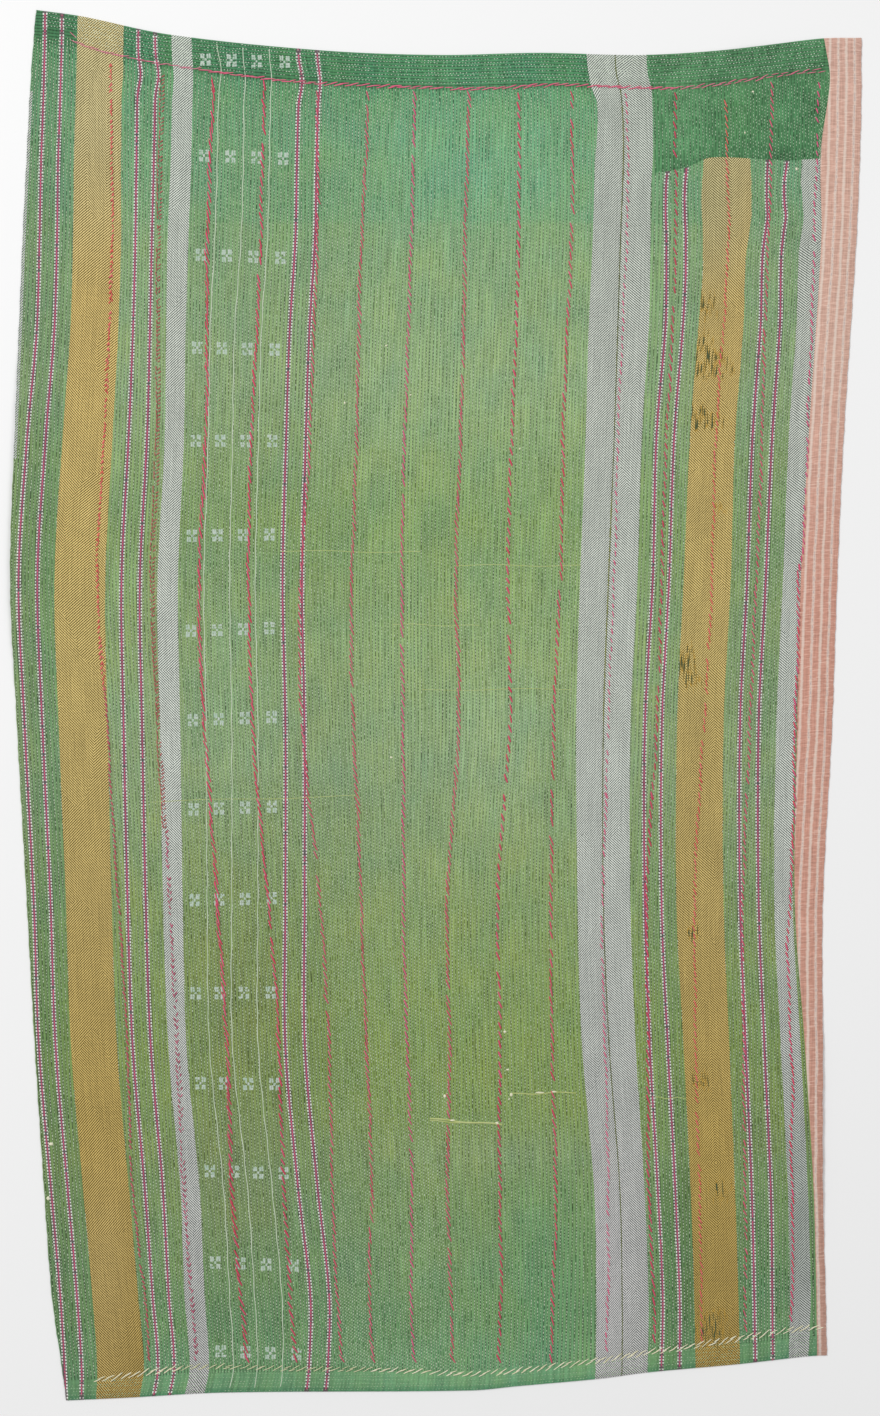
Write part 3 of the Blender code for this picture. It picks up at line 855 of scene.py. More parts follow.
def buildSheet(name, loomAcross, finish):
    # a thin closed sheet: face, underside and the rim between them
    cells = cellsOf[name]
    height, width = len(rows), len(columns)
    used = np.zeros((height, width), dtype=bool)
    for below in (0, 1):
        for right in (0, 1):
            used[below:height - 1 + below, right:width - 1 + right] |= cells
    number = np.full((height, width), -1)
    number[used] = np.arange(used.sum())
    count = int(used.sum())
    across, down = gridAcross[used], gridDown[used]
    points = np.concatenate([
        toWorld(across, down, gridTop[used]), toWorld(across, down, gridUnder[used])
    ])
    row, column = np.nonzero(cells)
    ring = [(row, column), (row + 1, column), (row + 1, column + 1), (row, column + 1)]
    corners = np.stack([number[r, c] for r, c in ring], axis=-1)
    faces = [corners, corners[:, ::-1] + count]
    padded = np.pad(cells, 1)
    beyond = [(0, -1), (1, 0), (0, 1), (-1, 0)]
    rims = []
    for side, (stepRow, stepColumn) in enumerate(beyond):
        edge = ~padded[row + 1 + stepRow, column + 1 + stepColumn]
        start, end = corners[edge, side], corners[edge, (side + 1) % 4]
        rims.append(np.stack([start + count, end + count, end, start], axis=-1))
    faces = np.concatenate(faces + rims)
    mesh = bpy.data.meshes.new(name + "_cloth")
    mesh.from_pydata(points.tolist(), [], faces.tolist())
    around = faces.ravel()
    place = around % count
    loops = np.arange(len(around))
    addLayer(mesh, "cloth", loomAcross(across, down)[place] * mm, weftPlace(across, down)[place] * mm)
    fromTop, fromBottom = down - through(topEdge, across), through(bottomEdge, across) - down
    inset = np.where(fromTop < fromBottom, (fromTop - 0.75) / hemDashes["apart"], 0)
    inHem = np.repeat((row < topHemCells) | (row >= len(rows) - bottomHemCells), 4)
    inHem = np.concatenate([inHem, inHem, np.zeros(len(around) - 2 * inHem.size, dtype=bool)])
    addLayer(mesh, "rows", np.where(inHem, inset[place], rowNumber(across, down)[place]),
             np.where(inHem, across[place], down[place]) * mm)

    # flat layout in the OFBake map: the face beside the underside, the rim folded out by its height
    low, high = np.array([across.min(), down.min()]), np.array([across.max(), down.max()])
    flat = (np.stack([across, down], axis=-1) - low) / (high - low)
    faceShare, margin = 0.74, 0.01
    ofFace = loops < corners.size
    ofUnder = (loops >= corners.size) & (loops < 2 * corners.size)
    centre = flat.mean(axis=0)
    outwards = np.sign(flat - centre) * 3.0 / (high - low)
    at = flat[place] + np.where((~ofFace & ~ofUnder & (around >= count))[:, None], outwards[place], 0)
    left = margin + at[:, 0] * (faceShare - 2 * margin)
    right = faceShare + margin + at[:, 0] * (1 - faceShare - 2 * margin)
    addLayer(mesh, "OFBake", np.where(ofUnder, right, left), margin + (1 - at[:, 1]) * (1 - 2 * margin))

    shade = groundAt(across, down)
    if name == "side_strip":
        shade = fadeAt(stripedStrip["fade"], down)
    if name == "corner_patch":
        shade = np.tile(np.array(linear("#4B7D52")), (count, 1))
        hem = softStep((hemOfPatch - fromTop) / thickness["hemRamp"])[:, None]
        shade = shade * (1 - hem) + np.array(linear("#497A52")) * hem
        shade = stainedAndShaded(shade, patchStains, across, down)
    addShade(mesh, "groundShade", np.tile(shade, (2, 1)))
    for band, fade, stainsAndShade in (("gold", goldFade, goldStains), ("grey", greyFade, greyStainsAndShade)):
        shade = stainedAndShaded(fadeAt(fade, down), stainsAndShade, across, down)
        addShade(mesh, band + "Shade", np.tile(shade, (2, 1)))
    worn = mesh.attributes.new("worn", "FLOAT", "POINT")
    wear = sum(blobAt(across, down, spot) for spot in wornPlaces)
    worn.data.foreach_set("value", np.tile(np.minimum(wear, 0.9), 2).astype(np.float32))
    mesh.shade_smooth()
    mesh.set_sharp_from_angle(angle=math.radians(60))
    mesh.materials.append(finish)
    mesh.validate()
    area = sum(polygon.area for polygon in mesh.polygons) / 2
    print("sheet", name, len(faces) * 2, "triangles, area", round(area, 3))
    return addPiece(name + "_cloth", mesh)


sheets = {
    "sari_panel": {
        "flat": (0.84, 1.95), "area": 1.54, "slot": "sari_cotton",
        "across": lambda across, down: loomPlace(sariWoven, loomSari, across, down),
        "finish": wovenCotton("washedHandloomCotton", bandsOnSari),
    },
    "border_panel": {
        "flat": (0.30, 1.87), "area": 0.46, "slot": "border_cotton",
        "across": lambda across, down: loomPlace(borderWoven, loomBorder, across, down),
        "finish": wovenCotton("washedBorderCotton", bandsOnBorder),
    },
    "corner_patch": {
        "flat": (0.25, 0.17), "area": None, "slot": "patch_cotton",
        "across": lambda across, down: across - 300,
        "finish": plainCotton("plainDyedCotton"),
    },
    "side_strip": {
        "flat": (0.06, 1.85), "area": 0.076, "slot": "strip_cotton",
        "across": lambda across, down: through(lines["right"], down) - across,
        "finish": stripCotton("stripedSalmonCotton"),
    },
}
cloths = {name: buildSheet(name, kind["across"], kind["finish"]) for name, kind in sheets.items()}


# Thread shapes, one unit long, wide and high: a grain for fine stitches, a float for bold ones
def shapeObject(name, points, faces):
    mesh = bpy.data.meshes.new(name)
    mesh.from_pydata(points, [], faces)
    mesh.shade_smooth()
    return addPiece(name, mesh)


def floatShape(name, stations=6, sides=4):
    # a thread that rises from the cloth, bows over it and dives back in
    points = [(0.0, -0.5, -0.3)]
    for station in range(1, stations):
        share = station / stations
        girth = math.sin(math.pi * share) ** 0.35
        rise = 0.75 * math.sin(math.pi * share) ** 0.6 - 0.3
        for side in range(sides):
            turn = 2 * math.pi * side / sides
            beside, above = 0.5 * girth * math.cos(turn), 0.32 * girth * math.sin(turn)
            points.append((beside, share - 0.5, rise + above))
    points.append((0.0, 0.5, -0.3))
    last = len(points) - 1
    faces = []
    for side in range(sides):
        following = (side + 1) % sides
        faces.append((0, 1 + side, 1 + following))
        faces.append((last, last - sides + following, last - sides + side))
        for station in range(stations - 2):
            base = 1 + station * sides
            faces.append((base + side, base + sides + side, base + sides + following, base + following))
    return shapeObject(name, points, faces)


grainShape = shapeObject(
    "grainShape", [(0, -0.5, -0.3), (0, 0.5, -0.3), (-0.5, 0, 0.7), (0.5, 0, 0.7)],
    [(0, 3, 2), (1, 2, 3), (0, 2, 1), (0, 1, 3)],
)
blockShape = shapeObject(
    "blockShape",
    [(-0.5, -0.5, -0.3), (0.5, -0.5, -0.3), (0.5, 0.5, -0.3), (-0.5, 0.5, -0.3), (0, 0, 0.9)],
    [(0, 1, 4), (1, 2, 4), (2, 3, 4), (3, 0, 4), (3, 2, 1, 0)],
)
boldShape = floatShape("boldShape")
grainShape.data.polygons.foreach_set("use_smooth", [False] * 4)
blockShape.data.polygons.foreach_set("use_smooth", [False] * 5)


def newTree(name, inputs):
    tree = bpy.data.node_groups.new(name, "GeometryNodeTree")
    for label, kind in inputs.items():
        tree.interface.new_socket(label, in_out="INPUT", socket_type="NodeSocket" + kind)
    tree.interface.new_socket("Stitches", in_out="OUTPUT", socket_type="NodeSocketGeometry")
    add = partial(addNode, tree)
    return tree, add, add("NodeGroupInput").outputs


def endTree(tree, add, made, finish):
    real = add("GeometryNodeRealizeInstances", made)
    add("NodeGroupOutput", add("GeometryNodeSetMaterial", {"Geometry": real, "Material": finish}))
    return tree


def stitchTree(name, alongPaths):
    # sets one stitch after another along paths, or one at each point
    tree, add, given = newTree(name, {
        "Paths": "Geometry", "Pitch": "Float", "Length": "Float", "Width": "Float", "Height": "Float",
        "Lean": "Float", "Unevenness": "Float", "Drift": "Float", "Missing": "Float", "Seed": "Int",
        "Shape": "Object", "Finish": "Material",
    })
    source = given["Paths"]
    if alongPaths:
        curve = add("GeometryNodeMeshToCurve", {"Mesh": source})
        source = add(
            "GeometryNodeResampleCurve", {"Curve": curve, "Length": given["Pitch"]}, mode="LENGTH"
        ).outputs[0]
    drift = add("ShaderNodeVectorMath", {0: (1.0, 1.0, 0.1), "Scale": given["Drift"]}, operation="SCALE")
    away = add("ShaderNodeVectorMath", {0: drift, "Scale": -1.0}, operation="SCALE")
    shift = add(
        "FunctionNodeRandomValue", {0: away, 1: drift, "Seed": given["Seed"]}, data_type="FLOAT_VECTOR"
    )
    low = add("ShaderNodeMath", 1.0, given["Unevenness"], operation="SUBTRACT")
    high = add("ShaderNodeMath", 1.0, given["Unevenness"], operation="ADD")
    chances = []
    for step in range(4):
        seed = add("ShaderNodeMath", given["Seed"], 10.0 + step, operation="ADD")
        chances.append(add("FunctionNodeRandomValue", {2: low, 3: high, "Seed": seed}).outputs[1])
    present = add("ShaderNodeMath", given["Seed"], 90.0, operation="ADD")
    present = add("FunctionNodeRandomValue", {"Seed": present}).outputs[1]
    present = add("ShaderNodeMath", present, given["Missing"], operation="GREATER_THAN")
    moved = add("GeometryNodeSetPosition", {"Geometry": source, "Offset": shift.outputs[0]})
    leanShift = add("ShaderNodeMath", chances[3], 1.0, operation="SUBTRACT")
    lean = add("ShaderNodeMath", leanShift, 0.8, given["Lean"], operation="MULTIPLY_ADD")
    turned = add("ShaderNodeCombineXYZ", {2: lean})
    rotation = add("FunctionNodeEulerToRotation", turned)
    if alongPaths:
        tangent = add("GeometryNodeInputTangent")
        aligned = add("FunctionNodeAlignRotationToVector", {"Vector": tangent}, axis="Y")
        rotation = add("FunctionNodeRotateRotation", aligned, rotation, rotation_space="LOCAL")
    sizes = [
        add("ShaderNodeMath", given[label], chance, operation="MULTIPLY")
        for label, chance in zip(("Width", "Length", "Height"), chances)
    ]
    scale = add("ShaderNodeCombineXYZ", dict(enumerate(sizes)))
    shape = add("GeometryNodeObjectInfo", {"Object": given["Shape"]}).outputs["Geometry"]
    placed = add(
        "GeometryNodeInstanceOnPoints",
        {"Points": moved, "Selection": present, "Instance": shape, "Rotation": rotation, "Scale": scale},
    )
    return endTree(tree, add, placed, given["Finish"])


def threadTree():
    # a round thread along each path
    tree, add, given = newTree(
        "threadAlongPaths", {"Paths": "Geometry", "Radius": "Float", "Sides": "Int", "Finish": "Material"}
    )
    curve = add("GeometryNodeMeshToCurve", {"Mesh": given["Paths"]})
    profile = add(
        "GeometryNodeCurvePrimitiveCircle", {"Resolution": given["Sides"], "Radius": given["Radius"]}
    )
    tube = add("GeometryNodeCurveToMesh", {"Curve": curve, "Profile Curve": profile, "Fill Caps": True})
    smooth = add("GeometryNodeSetShadeSmooth", {"Geometry": tube})
    return endTree(tree, add, smooth, given["Finish"])


alongPathsTree = stitchTree("stitchesAlongPaths", True)
atPointsTree = stitchTree("floatsAtPoints", False)
tubeTree = threadTree()


def pathObject(name, paths):
    # paths are arrays of (across, down, height); each becomes a run of edges
    points = np.concatenate([toWorld(p[:, 0], p[:, 1], p[:, 2]) for p in paths])
    edges = []
    base = 0
    for path in paths:
        edges += [(i, i + 1) for i in range(base, base + len(path) - 1)]
        base += len(path)
    mesh = bpy.data.meshes.new(name)
    mesh.from_pydata(points.tolist(), edges, [])
    return addPiece(name, mesh)


def grown(item, tree, values):
    # runs the tree on the paths and leaves a plain mesh
    modifier = item.modifiers.new("grown", "NODES")
    modifier.node_group = tree
    sockets = {s.name: s.identifier for s in tree.interface.items_tree if s.in_out == "INPUT"}
    for label, value in values.items():
        modifier[sockets[label]] = value
    item.update_tag()
    bpy.context.view_layer.update()
    evaluated = item.evaluated_get(bpy.context.evaluated_depsgraph_get())
    mesh = bpy.data.meshes.new_from_object(evaluated)
    mesh.name = item.name
    item.modifiers.clear()
    item.data = mesh
    mesh.calc_loop_triangles()
    print("grown", item.name, len(mesh.loop_triangles), "triangles")
    return item


def sewn(name, paths, shape, finish, pitch, length, width, height, seed,
         lean=0, uneven=0.2, drift=0.5, missing=0):
    # stitches at a pitch along the paths, or one at each point; sizes in millimetres, lean in degrees
    tree = alongPathsTree if pitch else atPointsTree
    return grown(pathObject(name, paths), tree, {
        "Pitch": pitch * mm, "Length": length * mm, "Width": width * mm, "Height": height * mm,
        "Lean": math.radians(lean), "Unevenness": uneven, "Drift": drift * mm,
        "Missing": float(missing), "Seed": seed, "Shape": shape, "Finish": finish,
    })


def tube(name, paths, radius, finish):
    return grown(pathObject(name, paths), tubeTree, {"Radius": radius * mm, "Sides": 6, "Finish": finish})


def onFace(across, down, above):
    # a path lying on the face
    across = np.asarray(across, dtype=float)
    down = np.asarray(down, dtype=float)
    return np.stack([across, down, surfaceAt(across, down)[1] + above], axis=-1)


def downwards(start, end, step):
    # from the lower end to the upper one, so that a path's forward way is the quilt's +Y
    count = max(int((end - start) / step) + 1, 2)
    return np.linspace(end, start, count)


def isWithin(across, down, fromTop, fromBottom):
    # further than this from the top edge and from the bottom edge
    return (down - through(topEdge, across) > fromTop) & (through(bottomEdge, across) - down > fromBottom)


def betweenHems(across, down, belowTop, aboveBottom):
    # further than this inwards from the two stitched hem lines
    return isWithin(
        across, down, through(topStitchLine, across) + belowTop,
        through(bottomStitchLine, across) + aboveBottom,
    )


def runs(path, keep, least=2):
    # the stretches of a path where keep is true
    found = []
    start = None
    for i, kept in enumerate(list(keep) + [False]):
        if kept and start is None:
            start = i
        if not kept and start is not None:
            if i - start >= least:
                found.append(path[start:i])
            start = None
    return found


# Fine off-white running stitches, all over the green cloth
running = {"pitch": 0, "length": 3.5, "width": 1.15, "height": 0.45, "uneven": 0.3, "drift": 0.4}
runningClear = {"hemLine": 4, "pinstripe": 4.2, "above": 0.05}  # no fine stitch nearer than this
runningKinds = (
    # where, first row and step, how many are missing, tint
    ("lengths", 0, 2, 0.08, "#AEC19E"), ("lengths", 1, 2, 0.08, "#BDCBB0"),
    ("patch", 0, 1, 0.25, "#A0BC9A"),
)


def runningPoints():
    # stitch places on the sari lengths and on the patch, one array for each fine row
    found = {"lengths": [], "patch": []}
    number = 0
    for name, following in zip(drawnLines[:-2], drawnLines[1:-1]):
        count = runningRows.get(name, runningRows["others"])
        for step in range(count):
            first = number * rowShift % 1 * stitchPitch
            down = np.arange(first + 9 * stitchPitch, fullLength, stitchPitch)
            low, high = lineAt(name, down), lineAt(following, down)
            across = low + (high - low) * (step + 0.5) / count
            keep = betweenHems(across, down, runningClear["hemLine"], runningClear["hemLine"])
            onSari, loom = loomHere(across, down)
            plain = (down < through(patchEdge, across)) & (across > lineAt("band", down))
            for bands, here in ((bandsOnSari, onSari), (bandsOnBorder, ~onSari)):
                for left, right, _ in bands["gold"] + bands["grey"]:
                    keep &= ~(here & (loom > left) & (loom < right)) | plain
                for place in bands["pins"]:
                    keep &= ~(here & (np.abs(loom - place) < runningClear["pinstripe"])) | plain
            for place, here in (("patch", keep & plain), ("lengths", keep & ~plain)):
                found[place].append(onFace(across[here], down[here], runningClear["above"]))
            number += 1
    return found


def growRunning():
    places = runningPoints()
    pieces = []
    for part, (where, first, step, missing, tint) in enumerate(runningKinds):
        points = [np.concatenate(places[where][first::step])]
        finish = threadFinish(f"offWhiteCottonThread{part + 1}", tint)
        pieces.append(sewn(
            f"running_stitch_{part + 1}", points, grainShape, finish, seed=20 + part,
            missing=missing, **running,
        ))
    return pieces


# Rows of pale dashes along the turned hems
def growHemDashes(name, edge, stitchLine, way, finish, tint):
    finish = threadFinish(finish, tint)
    paths = []
    for number in range(hemDashes["rows"]):
        inset = hemDashes["first"] + hemDashes["apart"] * number
        start = number * rowShift % 1 * hemStitch["pitch"]
        across = np.linspace(hemDashes["from"] + start, hemDashes["to"] + start, 110)
        down = through(edge, across) + way * (inset + hemDashes["wave"] * np.sin(across * 0.02 + inset))
        keep = (inset < through(stitchLine, across) - 3) & (across < lineAt("strip", down) - 2)
        keep &= across > lineAt("left", down) + 3
        paths += runs(onFace(across, down, 0.05), keep)
    return sewn(f"{name}_hem_dashes", paths, grainShape, finish, seed=3, **hemStitch)


# The bold quilting rows, each with its own pitch, lean and tint
boldNames = "row start end aside strands length pitch lean width missing tint".split()
boldRows = (
    # sizes in millimetres, lean in degrees; a second strand is finer and comes and goes
    ("row1", 0, 950, 0, 1, 7.0, 7.2, -30, 1.9, 0.1, "coral"),
    ("row1", 0, 950, 1.0, 1, 6.4, 8.6, 18, 1.5, 0.3, "coral"),
    ("row1", 950, 1946, 0, 1, 9.0, 7.6, 20, 2.2, 0.02, "faded"),
    ("row2", 0, 1150, -2.6, 1, 7.2, 6.6, 14, 1.5, 0.1, "dull"),
    ("row2", 0, 1150, 1.2, 1, 6.2, 5.4, -52, 1.5, 0.15, "dull"),
    ("row2", 1150, 1946, -1.0, 1, 8, 8.2, 24, 1.5, 0.12, "mauve"),
    ("row2", 1150, 1946, 2.0, 1, 6.5, 9.4, -28, 1.4, 0.3, "mauve"),
    ("row3", 0, 1500, 0, 2, 21, 14.2, 15, 2.0, 0.0, "crimson"),
    ("row3", 1500, 1946, 0, 2, 19, 13, 21, 2.3, 0.0, "deep"),
    ("row4", 0, 1500, 0, 1, 17.5, 12.2, 17, 2.1, 0.02, "crimson"),
    ("row4", 1500, 1946, 0, 1, 16, 12.2, 24, 2.3, 0.0, "deep"),
    ("row5", 0, 1946, 0, 1, 16.2, 11.2, 19, 1.8, 0.02, "rose"),
    ("row6", 0, 1946, 0, 1, 17, 10.4, 19, 1.7, 0.02, "rose"),
    ("row7", 0, 1946, 0, 1, 15.6, 11.0, 20, 1.8, 0.02, "pink"),
    ("row8", 0, 1946, 0, 1, 17.5, 10.7, 20, 1.7, 0.02, "rose"),
    ("row9", 0, 1490, 0, 1, 14.5, 13.8, 20, 2.2, 0.04, "crimson"),
    ("row9", 1490, 1946, 0, 1, 15, 12, 20, 2.2, 0.0, "deep"),
    ("row10", 0, 1946, 0, 1, 17, 13.2, 18, 1.9, 0.02, "crimson"),
    ("row11", 0, 1100, 0, 1, 10, 12, 18, 1.5, 0.05, "light"),
    ("row11", 1100, 1946, 0, 1, 11, 10.0, 20, 1.6, 0.04, "light"),
    ("row12", 0, 1100, 0, 1, 14, 13.5, 18, 2.0, 0.02, "deep"),
    ("row12", 1100, 1946, 0, 1, 17, 12.8, 18, 2.2, 0.0, "deep"),
    ("row13", 0, 1946, 0, 1, 12.5, 10.4, 20, 1.7, 0.03, "coral"),
    ("row14", 0, 1946, 0, 1, 13, 10.8, 22, 1.8, 0.03, "rose"),
    ("edgeRow", 0, 780, 0, 1, 12, 11.7, 19, 1.8, 0.08, "pink"),
    ("edgeRow", 780, 1946, 0, 1, 13.5, 11.0, 19, 2.0, 0.0, "bright"),
)
boldTints = {
    "crimson": ("#D63356", "#DE5578"), "dull": ("#B04C4C", "#BE6864"), "rose": ("#D04460", "#D8647E"),
    "pink": ("#DC4A7C", "#D86088"), "coral": ("#DE5C50", "#E2706E"), "faded": ("#B84458", "#C25E66"),
    "mauve": ("#C8507A", "#B8566A"), "deep": ("#C8304E", "#CE4E6C"), "light": ("#E05A84", "#DE7C98"),
    "bright": ("#D83A50", "#D84878"),
}
fineStrand = {"aside": -1.7, "length": 0.6, "width": 0.6, "missing": 0.45}


def growBoldRow(number, row, strand, finish):
    fine = strand > 0
    down = downwards(max(row["start"], 50), min(row["end"], fullLength - 16), 14.0)
    down += 0.45 * row["pitch"] if fine else 0.0
    across = lineAt(row["row"], down) + row["aside"] + (fineStrand["aside"] if fine else 0.0)
    across += 0.9 * np.sin(down * 0.013 + number) + 0.6 * np.sin(down * 0.047 + 2 * number)
    keep = betweenHems(across, down, 10, 6)
    width = row["width"] * (fineStrand["width"] if fine else 1.0)
    return sewn(
        f"quilting_{row['row']}_{number}" + ("_fine" if fine else ""),
        runs(onFace(across, down, 0.25), keep), boldShape, finish, row["pitch"],
        row["length"] * (fineStrand["length"] if fine else 1.0), width, width * 0.95,
        seed=40 + number + 30 * strand, lean=row["lean"], uneven=0.16, drift=0.7,
        missing=fineStrand["missing"] if fine else row["missing"],
    )


def growBoldRows():
    pieces = []
    finishes = {name: threadFinish(name + "QuiltingCotton", *pair) for name, pair in boldTints.items()}
    for number, values in enumerate(boldRows):
        row = dict(zip(boldNames, values))
        for strand in range(row["strands"]):
            pieces.append(growBoldRow(number, row, strand, finishes[row["tint"]]))
    return pieces


# The two hems are held by overlapping double stitches
hemRowNames = "name start end length pitch lean width apart tint other".split()
hemRows = (
    ("top", -512, -330, 14.5, 14.5, 10, 1.2, 1.0, "#E0708E", "#D8869A"),
    ("top", -330, 330, 15.5, 14.5, 10, 1.7, 1.0, "#E25C82", "#DC7288"),
    ("top", 330, 536, 14.5, 14.5, 10, 1.3, 1.0, "#E0708E", "#DA8294"),
    ("bottom", -478, -366, 14.5, 11.5, 22, 1.8, 1.5, "#DAD6B2", "#E8E2C4"),
    ("bottom", -366, -90, 13, 11.5, 24, 1.3, 1.5, "#C3C79C", "#D6D4AE"),
    ("bottom", -90, 534, 14, 11.5, 24, 1.6, 1.5, "#DAD6B2", "#EAE6CC"),
)


def growHemRow(number, row):
    atTop = row["name"] == "top"
    edge, inset, way = (topEdge, topStitchLine, 1) if atTop else (bottomEdge, bottomStitchLine, -1)
    across = np.linspace(row["start"], row["end"], 80)
    finish = threadFinish(f"{row['name']}HemThread{number}", row["tint"], row["other"])
    paths = []
    for strand in (-row["apart"], row["apart"]):
        down = through(edge, across) + way * through(inset, across) + strand
        down += 1.1 * np.sin(across * 0.023)
        paths.append(onFace(across + strand / row["apart"] * row["pitch"] / 4, down, 0.35))
    return sewn(
        f"{row['name']}_hem_row_{number}", paths, boldShape, finish, row["pitch"], row["length"],
        row["width"], row["width"], seed=70, lean=row["lean"], drift=0.7, missing=0.02,
    )


# Pinstripes: two columns of white floats side by side like rungs, with crimson between them
pins = {"pitch": 4.35, "float": 1.9, "long": 2.5, "aside": 2.4, "height": 0.45, "core": 2.0}


def pinPaths(woven, loom, places, aside, shift, start):
    found = []
    for place in places:
        down = downwards(-10, fullLength + 4, 8.0) + shift  # past both edges, and cut there
        across = quiltAcross(woven, loom, place + aside, down)
        down = np.maximum(down, through(start, across) + 1.5)
        keep = isWithin(across, down, 1, 1.5)
        keep &= (across > lineAt("left", down) + 1.5) & (across < lineAt("strip", down) - 1)
        keep &= np.append(np.abs(np.diff(down)) > 0.5, True)
        found += runs(onFace(across, down, 0.08), keep)
    return found


def growPins():
    finishes = {"white": threadFinish("whiteWovenFloats", "#E4E6DE"),
                "crimson": threadFinish("crimsonWovenFloats", "#D0587A", "#AC4A68", 30)}
    pieces = []
    for name, woven, loom, places, start in (
        ("sari", sariWoven, loomSari, bandsOnSari["pins"], topEdge),
        ("border", borderWoven, loomBorder, bandsOnBorder["pins"], patchEdge),
    ):
        white = []
        for side in (-1, 1):
            white += pinPaths(woven, loom, places, side * pins["aside"], 0.0, start)
        core = pinPaths(woven, loom, places, 0.0, pins["pitch"] / 2, start)
        for label, paths, shape, width, length, missing in (
            ("white", white, blockShape, pins["float"], pins["long"], 0.0),
            ("crimson", core, grainShape, pins["core"], 5.4, 0.03),
        ):
            pieces.append(sewn(
                f"{name}_pin_{label}", paths, shape, finishes[label], pins["pitch"], length, width,
                pins["height"], seed=80, uneven=0.14, drift=0.15, missing=missing,
            ))
    return pieces


# Small woven motifs: four blocks round a middle float, as the chart shows
motif = {
    "chart": ("xx.xx", "xx.xx", "..x..", "xx.xx", "xx.xx"),
    "across": 2.9, "down": 3.4, "sag": 0.04,
    "lanes": (230, 265.5, 301, 338),  # across the loom
    "downs": (70, 204, 343, 473, 603, 736, 869, 994, 1119, 1246, 1376, 1502, 1625, 1753, 1877),
}
motifFloat = {
    "pitch": 0, "length": 3.5, "width": 2.8, "height": 0.4,
    "uneven": 0.18, "drift": 0.35, "missing": 0.03,
}


def growMotifs():
    across, down = [], []
    for rowDown in motif["downs"]:
        for lane in motif["lanes"]:
            # each row of motifs sags a little to the right, as the weft does
            sag = (lane - motif["lanes"][0]) * motif["sag"]
            here = rowDown + sag * math.sin(rowDown * 0.004 + 0.6)
            middle = float(quiltAcross(sariWoven, loomSari, lane, np.array([here]))[0])
            for j, line in enumerate(motif["chart"]):
                for i, mark in enumerate(line):
                    if mark == "x":
                        across.append(middle + (i - 2) * motif["across"])
                        down.append(here + (j - 2) * motif["down"])
    points = onFace(across, down, 0.08)
    finish = threadFinish("paleMotifFloats", "#A2B9A8", "#BAC6BC", 6)
    return sewn("woven_motifs", [points], blockShape, finish, seed=5, **motifFloat)


def growLines():
    # single thick white warp threads beside the motifs, half sunk in the weave
    paths = []
    for number, place in enumerate(bandsOnSari["lines"]):
        down = downwards(20, fullLength - 6, 7.0)
        across = quiltAcross(sariWoven, loomSari, place, down) + 0.5 * np.sin(down * 0.11 + number * 2)
        paths += runs(onFace(across, down, -0.3), isWithin(across, down, 1, 1))
    return tube("white_warp_lines", paths, 0.7, threadFinish("whiteWarpThread", "#B9C8AE", "#CDD6C4", 25))


joinParts = (
    # the join is overcast with olive thread, thick in places: from, to, length, width, missing, tint
    (64, 137, 2.6, 1.0, 0.45, "#4A5240"), (137, 238, 3.6, 2.4, 0.05, "#6E7440"),
    (238, 683, 2.6, 1.0, 0.45, "#4A5240"), (683, 994, 3.6, 2.2, 0.1, "#7C8040"),
    (994, 1916, 2.8, 1.2, 0.3, "#5E6640"),
)


def growJoin():
    pieces = []
    for number, (start, end, length, width, missing, tint) in enumerate(joinParts):
        down = downwards(start, end, 8.0)
        across = lineAt("seam", down)
        paths = runs(onFace(across, down, 0.35), isWithin(across, down, 1, 1))
        finish = threadFinish(f"oliveJoinThread{number + 1}", tint)
        pieces.append(sewn(
            f"join_overcast_{number + 1}", paths, grainShape, finish, 3.2, length, width, 0.8,
            seed=8, lean=18, uneven=0.35, drift=0.3, missing=missing,
        ))
    return pieces


# Slubs and knots
slubs = (
    # thick weft threads: from (across, down) to (across, down), radius
    ((-9, 1552), (92, 1560), 1.3), ((-9, 1555), (60, 1558), 0.8), ((105, 1517), (196, 1515), 0.9),
    ((-218, 757), (-22, 759), 0.45), ((27, 777), (202, 778), 0.45), ((-60, 860), (60, 862), 0.4),
    ((-400, 1108), (-110, 1100), 0.4), ((-20, 952), (190, 950), 0.4), ((306, 1522), (350, 1523), 0.5),
)
knots = (
    # small knots and flecks: across, down, half width, half height
    (12, 1520, 1.9, 2.4), (96, 1430, 2.2, 1.6), (23, 1554, 3.6, 1.5), (85, 1558, 2.7, 2.2),
    (105, 1518, 2.2, 2.6), (102, 1524, 1.0, 1.6), (145, 1515, 6.5, 1.2), (165, 1514, 4.0, 1.3),
    (-63, 1046, 2.0, 1.4), (-539, 1587, 3.4, 2.2), (-543, 1663, 2.2, 3.0), (100, 1483, 2.2, 1.2),
    (-70, 470, 1.6, 1.1), (-36, 539, 1.6, 1.1), (443, 115, 1.7, 1.4), (432, 172, 1.0, 1.6),
    (504, 223, 1.6, 2.2), (-128, 550, 1.3, 1.7), (117, 614, 1.2, 1.5),
)


def growSlubs():
    pieces = []
    finish = threadFinish("paleSlubCotton", "#A9B465", "#B9C284", 18)
    for number, (start, end, radius) in enumerate(slubs):
        share = np.linspace(0, 1, 40)
        across = start[0] + (end[0] - start[0]) * share
        down = start[1] + (end[1] - start[1]) * share + 1.0 * np.sin(share * 9 + start[0])
        pieces.append(tube(f"weft_slub_{number + 1}", [onFace(across, down, -0.12)], radius, finish))
    return pieces


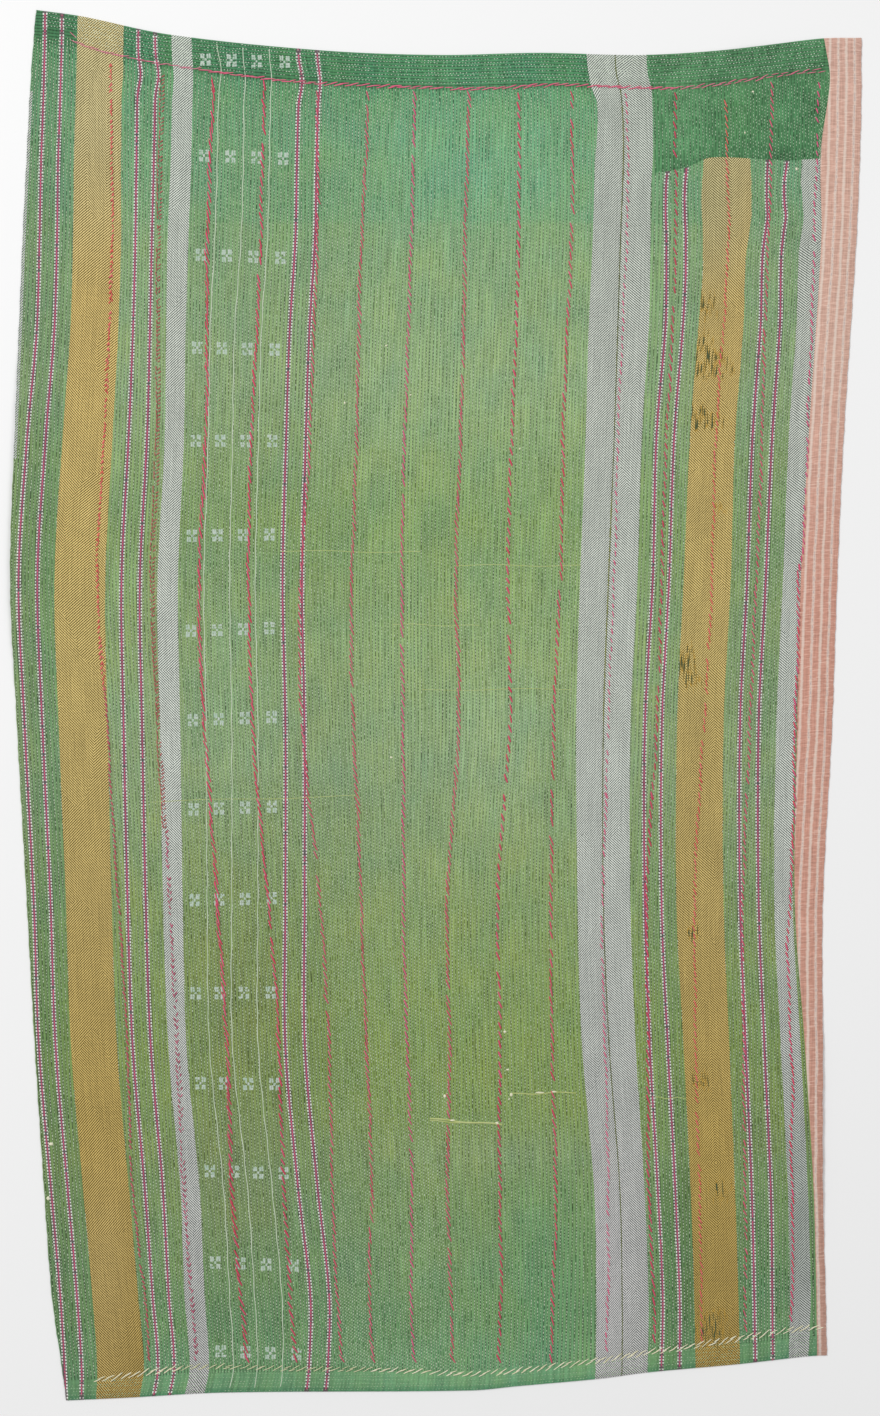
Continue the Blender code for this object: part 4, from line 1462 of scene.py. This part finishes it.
def growKnots():
    shape = bmesh.new()
    for across, down, halfWidth, halfHeight in knots:
        place = onFace([across], [down], 0.3)
        lump = Matrix.Translation(Vector(toWorld(*place.T)[0])) @ Matrix.Diagonal(
            (halfWidth * mm, halfHeight * mm, 0.9 * mm, 1.0)
        )
        bmesh.ops.create_icosphere(shape, subdivisions=2, radius=1.0, matrix=lump)
    for vertex in shape.verts:
        vertex.co.x += 0.25 * mm * math.sin(vertex.co.y / mm * 2.1)  # never quite round
    mesh = bpy.data.meshes.new("cotton_knots")
    shape.to_mesh(mesh)
    shape.free()
    mesh.shade_smooth()
    mesh.materials.append(threadFinish("creamCottonKnots", "#E6E2CC", "#D8D9B8", 5))
    return addPiece("cotton_knots", mesh)


print("pieces begin")
stitches = {
    "running_thread": growRunning() + [
        growHemDashes("top", topEdge, topStitchLine, 1, "whiteHemThread", "#C3D0BC"),
        growHemDashes("bottom", bottomEdge, bottomStitchLine, -1, "greenishHemThread", "#9DB994"),
        growMotifs(), growLines(), growKnots(),
    ] + growSlubs(),
    "bold_thread": growBoldRows(),
    "hem_thread": growPins() + growJoin(),
}
for number, values in enumerate(hemRows):
    row = dict(zip(hemRowNames, values))
    stitches["bold_thread" if row["name"] == "top" else "hem_thread"].append(growHemRow(number, row))
for shape in (grainShape, blockShape, boldShape):
    bpy.data.objects.remove(shape, do_unlink=True)


# Pale floor, soft studio light, camera straight above
def buildFloor():
    material, _, shader = newFinish("mattPalePaint", 0.9)
    shader.inputs["Base Color"].default_value = colour("#EFEFEF")
    half, level = 4.0, -0.0002
    corners = [(x * half, y * half, level) for x, y in ((-1, -1), (1, -1), (1, 1), (-1, 1))]
    mesh = bpy.data.meshes.new("floor")
    mesh.from_pydata(corners, [], [(0, 1, 2, 3)])
    mesh.materials.append(material)
    return addPiece("floor", mesh)


studio = {
    "worldStrength": 0.50, "keyPower": 300.0, "keyPlace": (-4.2, 3.0, 5.0), "keySize": 2.6,
    "fillPower": 60.0, "fillPlace": (3.8, 0.2, 4.5), "fillSize": 3.0,
}
view = {
    # a frame of 1416 pixels of 1.4 mm each, centred a little right of the quilt
    "frameHeight": 1416 * 1.4 * mm, "centre": (5.3, 977.0), "distance": 4.5, "sensor": 36.0,
}


def areaLight(name, power, place, size):
    light = bpy.data.lights.new(name, "AREA")
    light.energy = power
    light.shape = "DISK"
    light.size = size
    lamp = addPiece(name, light)
    lamp.location = place
    direction = -np.array(place)
    pitch = math.atan2(math.hypot(direction[0], direction[1]), -direction[2])
    lamp.rotation_euler = (pitch, 0, math.atan2(direction[1], direction[0]) - math.pi / 2)


def buildStudio():
    world = bpy.data.worlds.new("studio")
    world.use_nodes = True
    light = {"Color": colour("#FFFFFF"), "Strength": studio["worldStrength"]}
    feed(world.node_tree, world.node_tree.nodes["Background"], light)
    scene.world = world
    areaLight("key", studio["keyPower"], studio["keyPlace"], studio["keySize"])
    areaLight("fill", studio["fillPower"], studio["fillPlace"], studio["fillSize"])
    camera = addPiece("camera", bpy.data.cameras.new("camera"))
    camera.data.sensor_width = view["sensor"]
    camera.data.lens = view["sensor"] * view["distance"] / view["frameHeight"]
    centre = toWorld(*(np.array(float(v)) for v in view["centre"]), np.array(0.0))
    camera.location = (float(centre[0]), float(centre[1]), view["distance"])
    scene.camera = camera
    scene.view_settings.view_transform = "Standard"
    scene.cycles.denoising_prefilter = "NONE"  # a smoothed guide would take the finest stitches away


floor = buildFloor()
buildStudio()

for name, kind in sheets.items():
    cloth = cloths[name]
    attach(cloth, "root")
    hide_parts(name)
for slotName, pieces in stitches.items():
    for piece in pieces:
        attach(piece, "root")
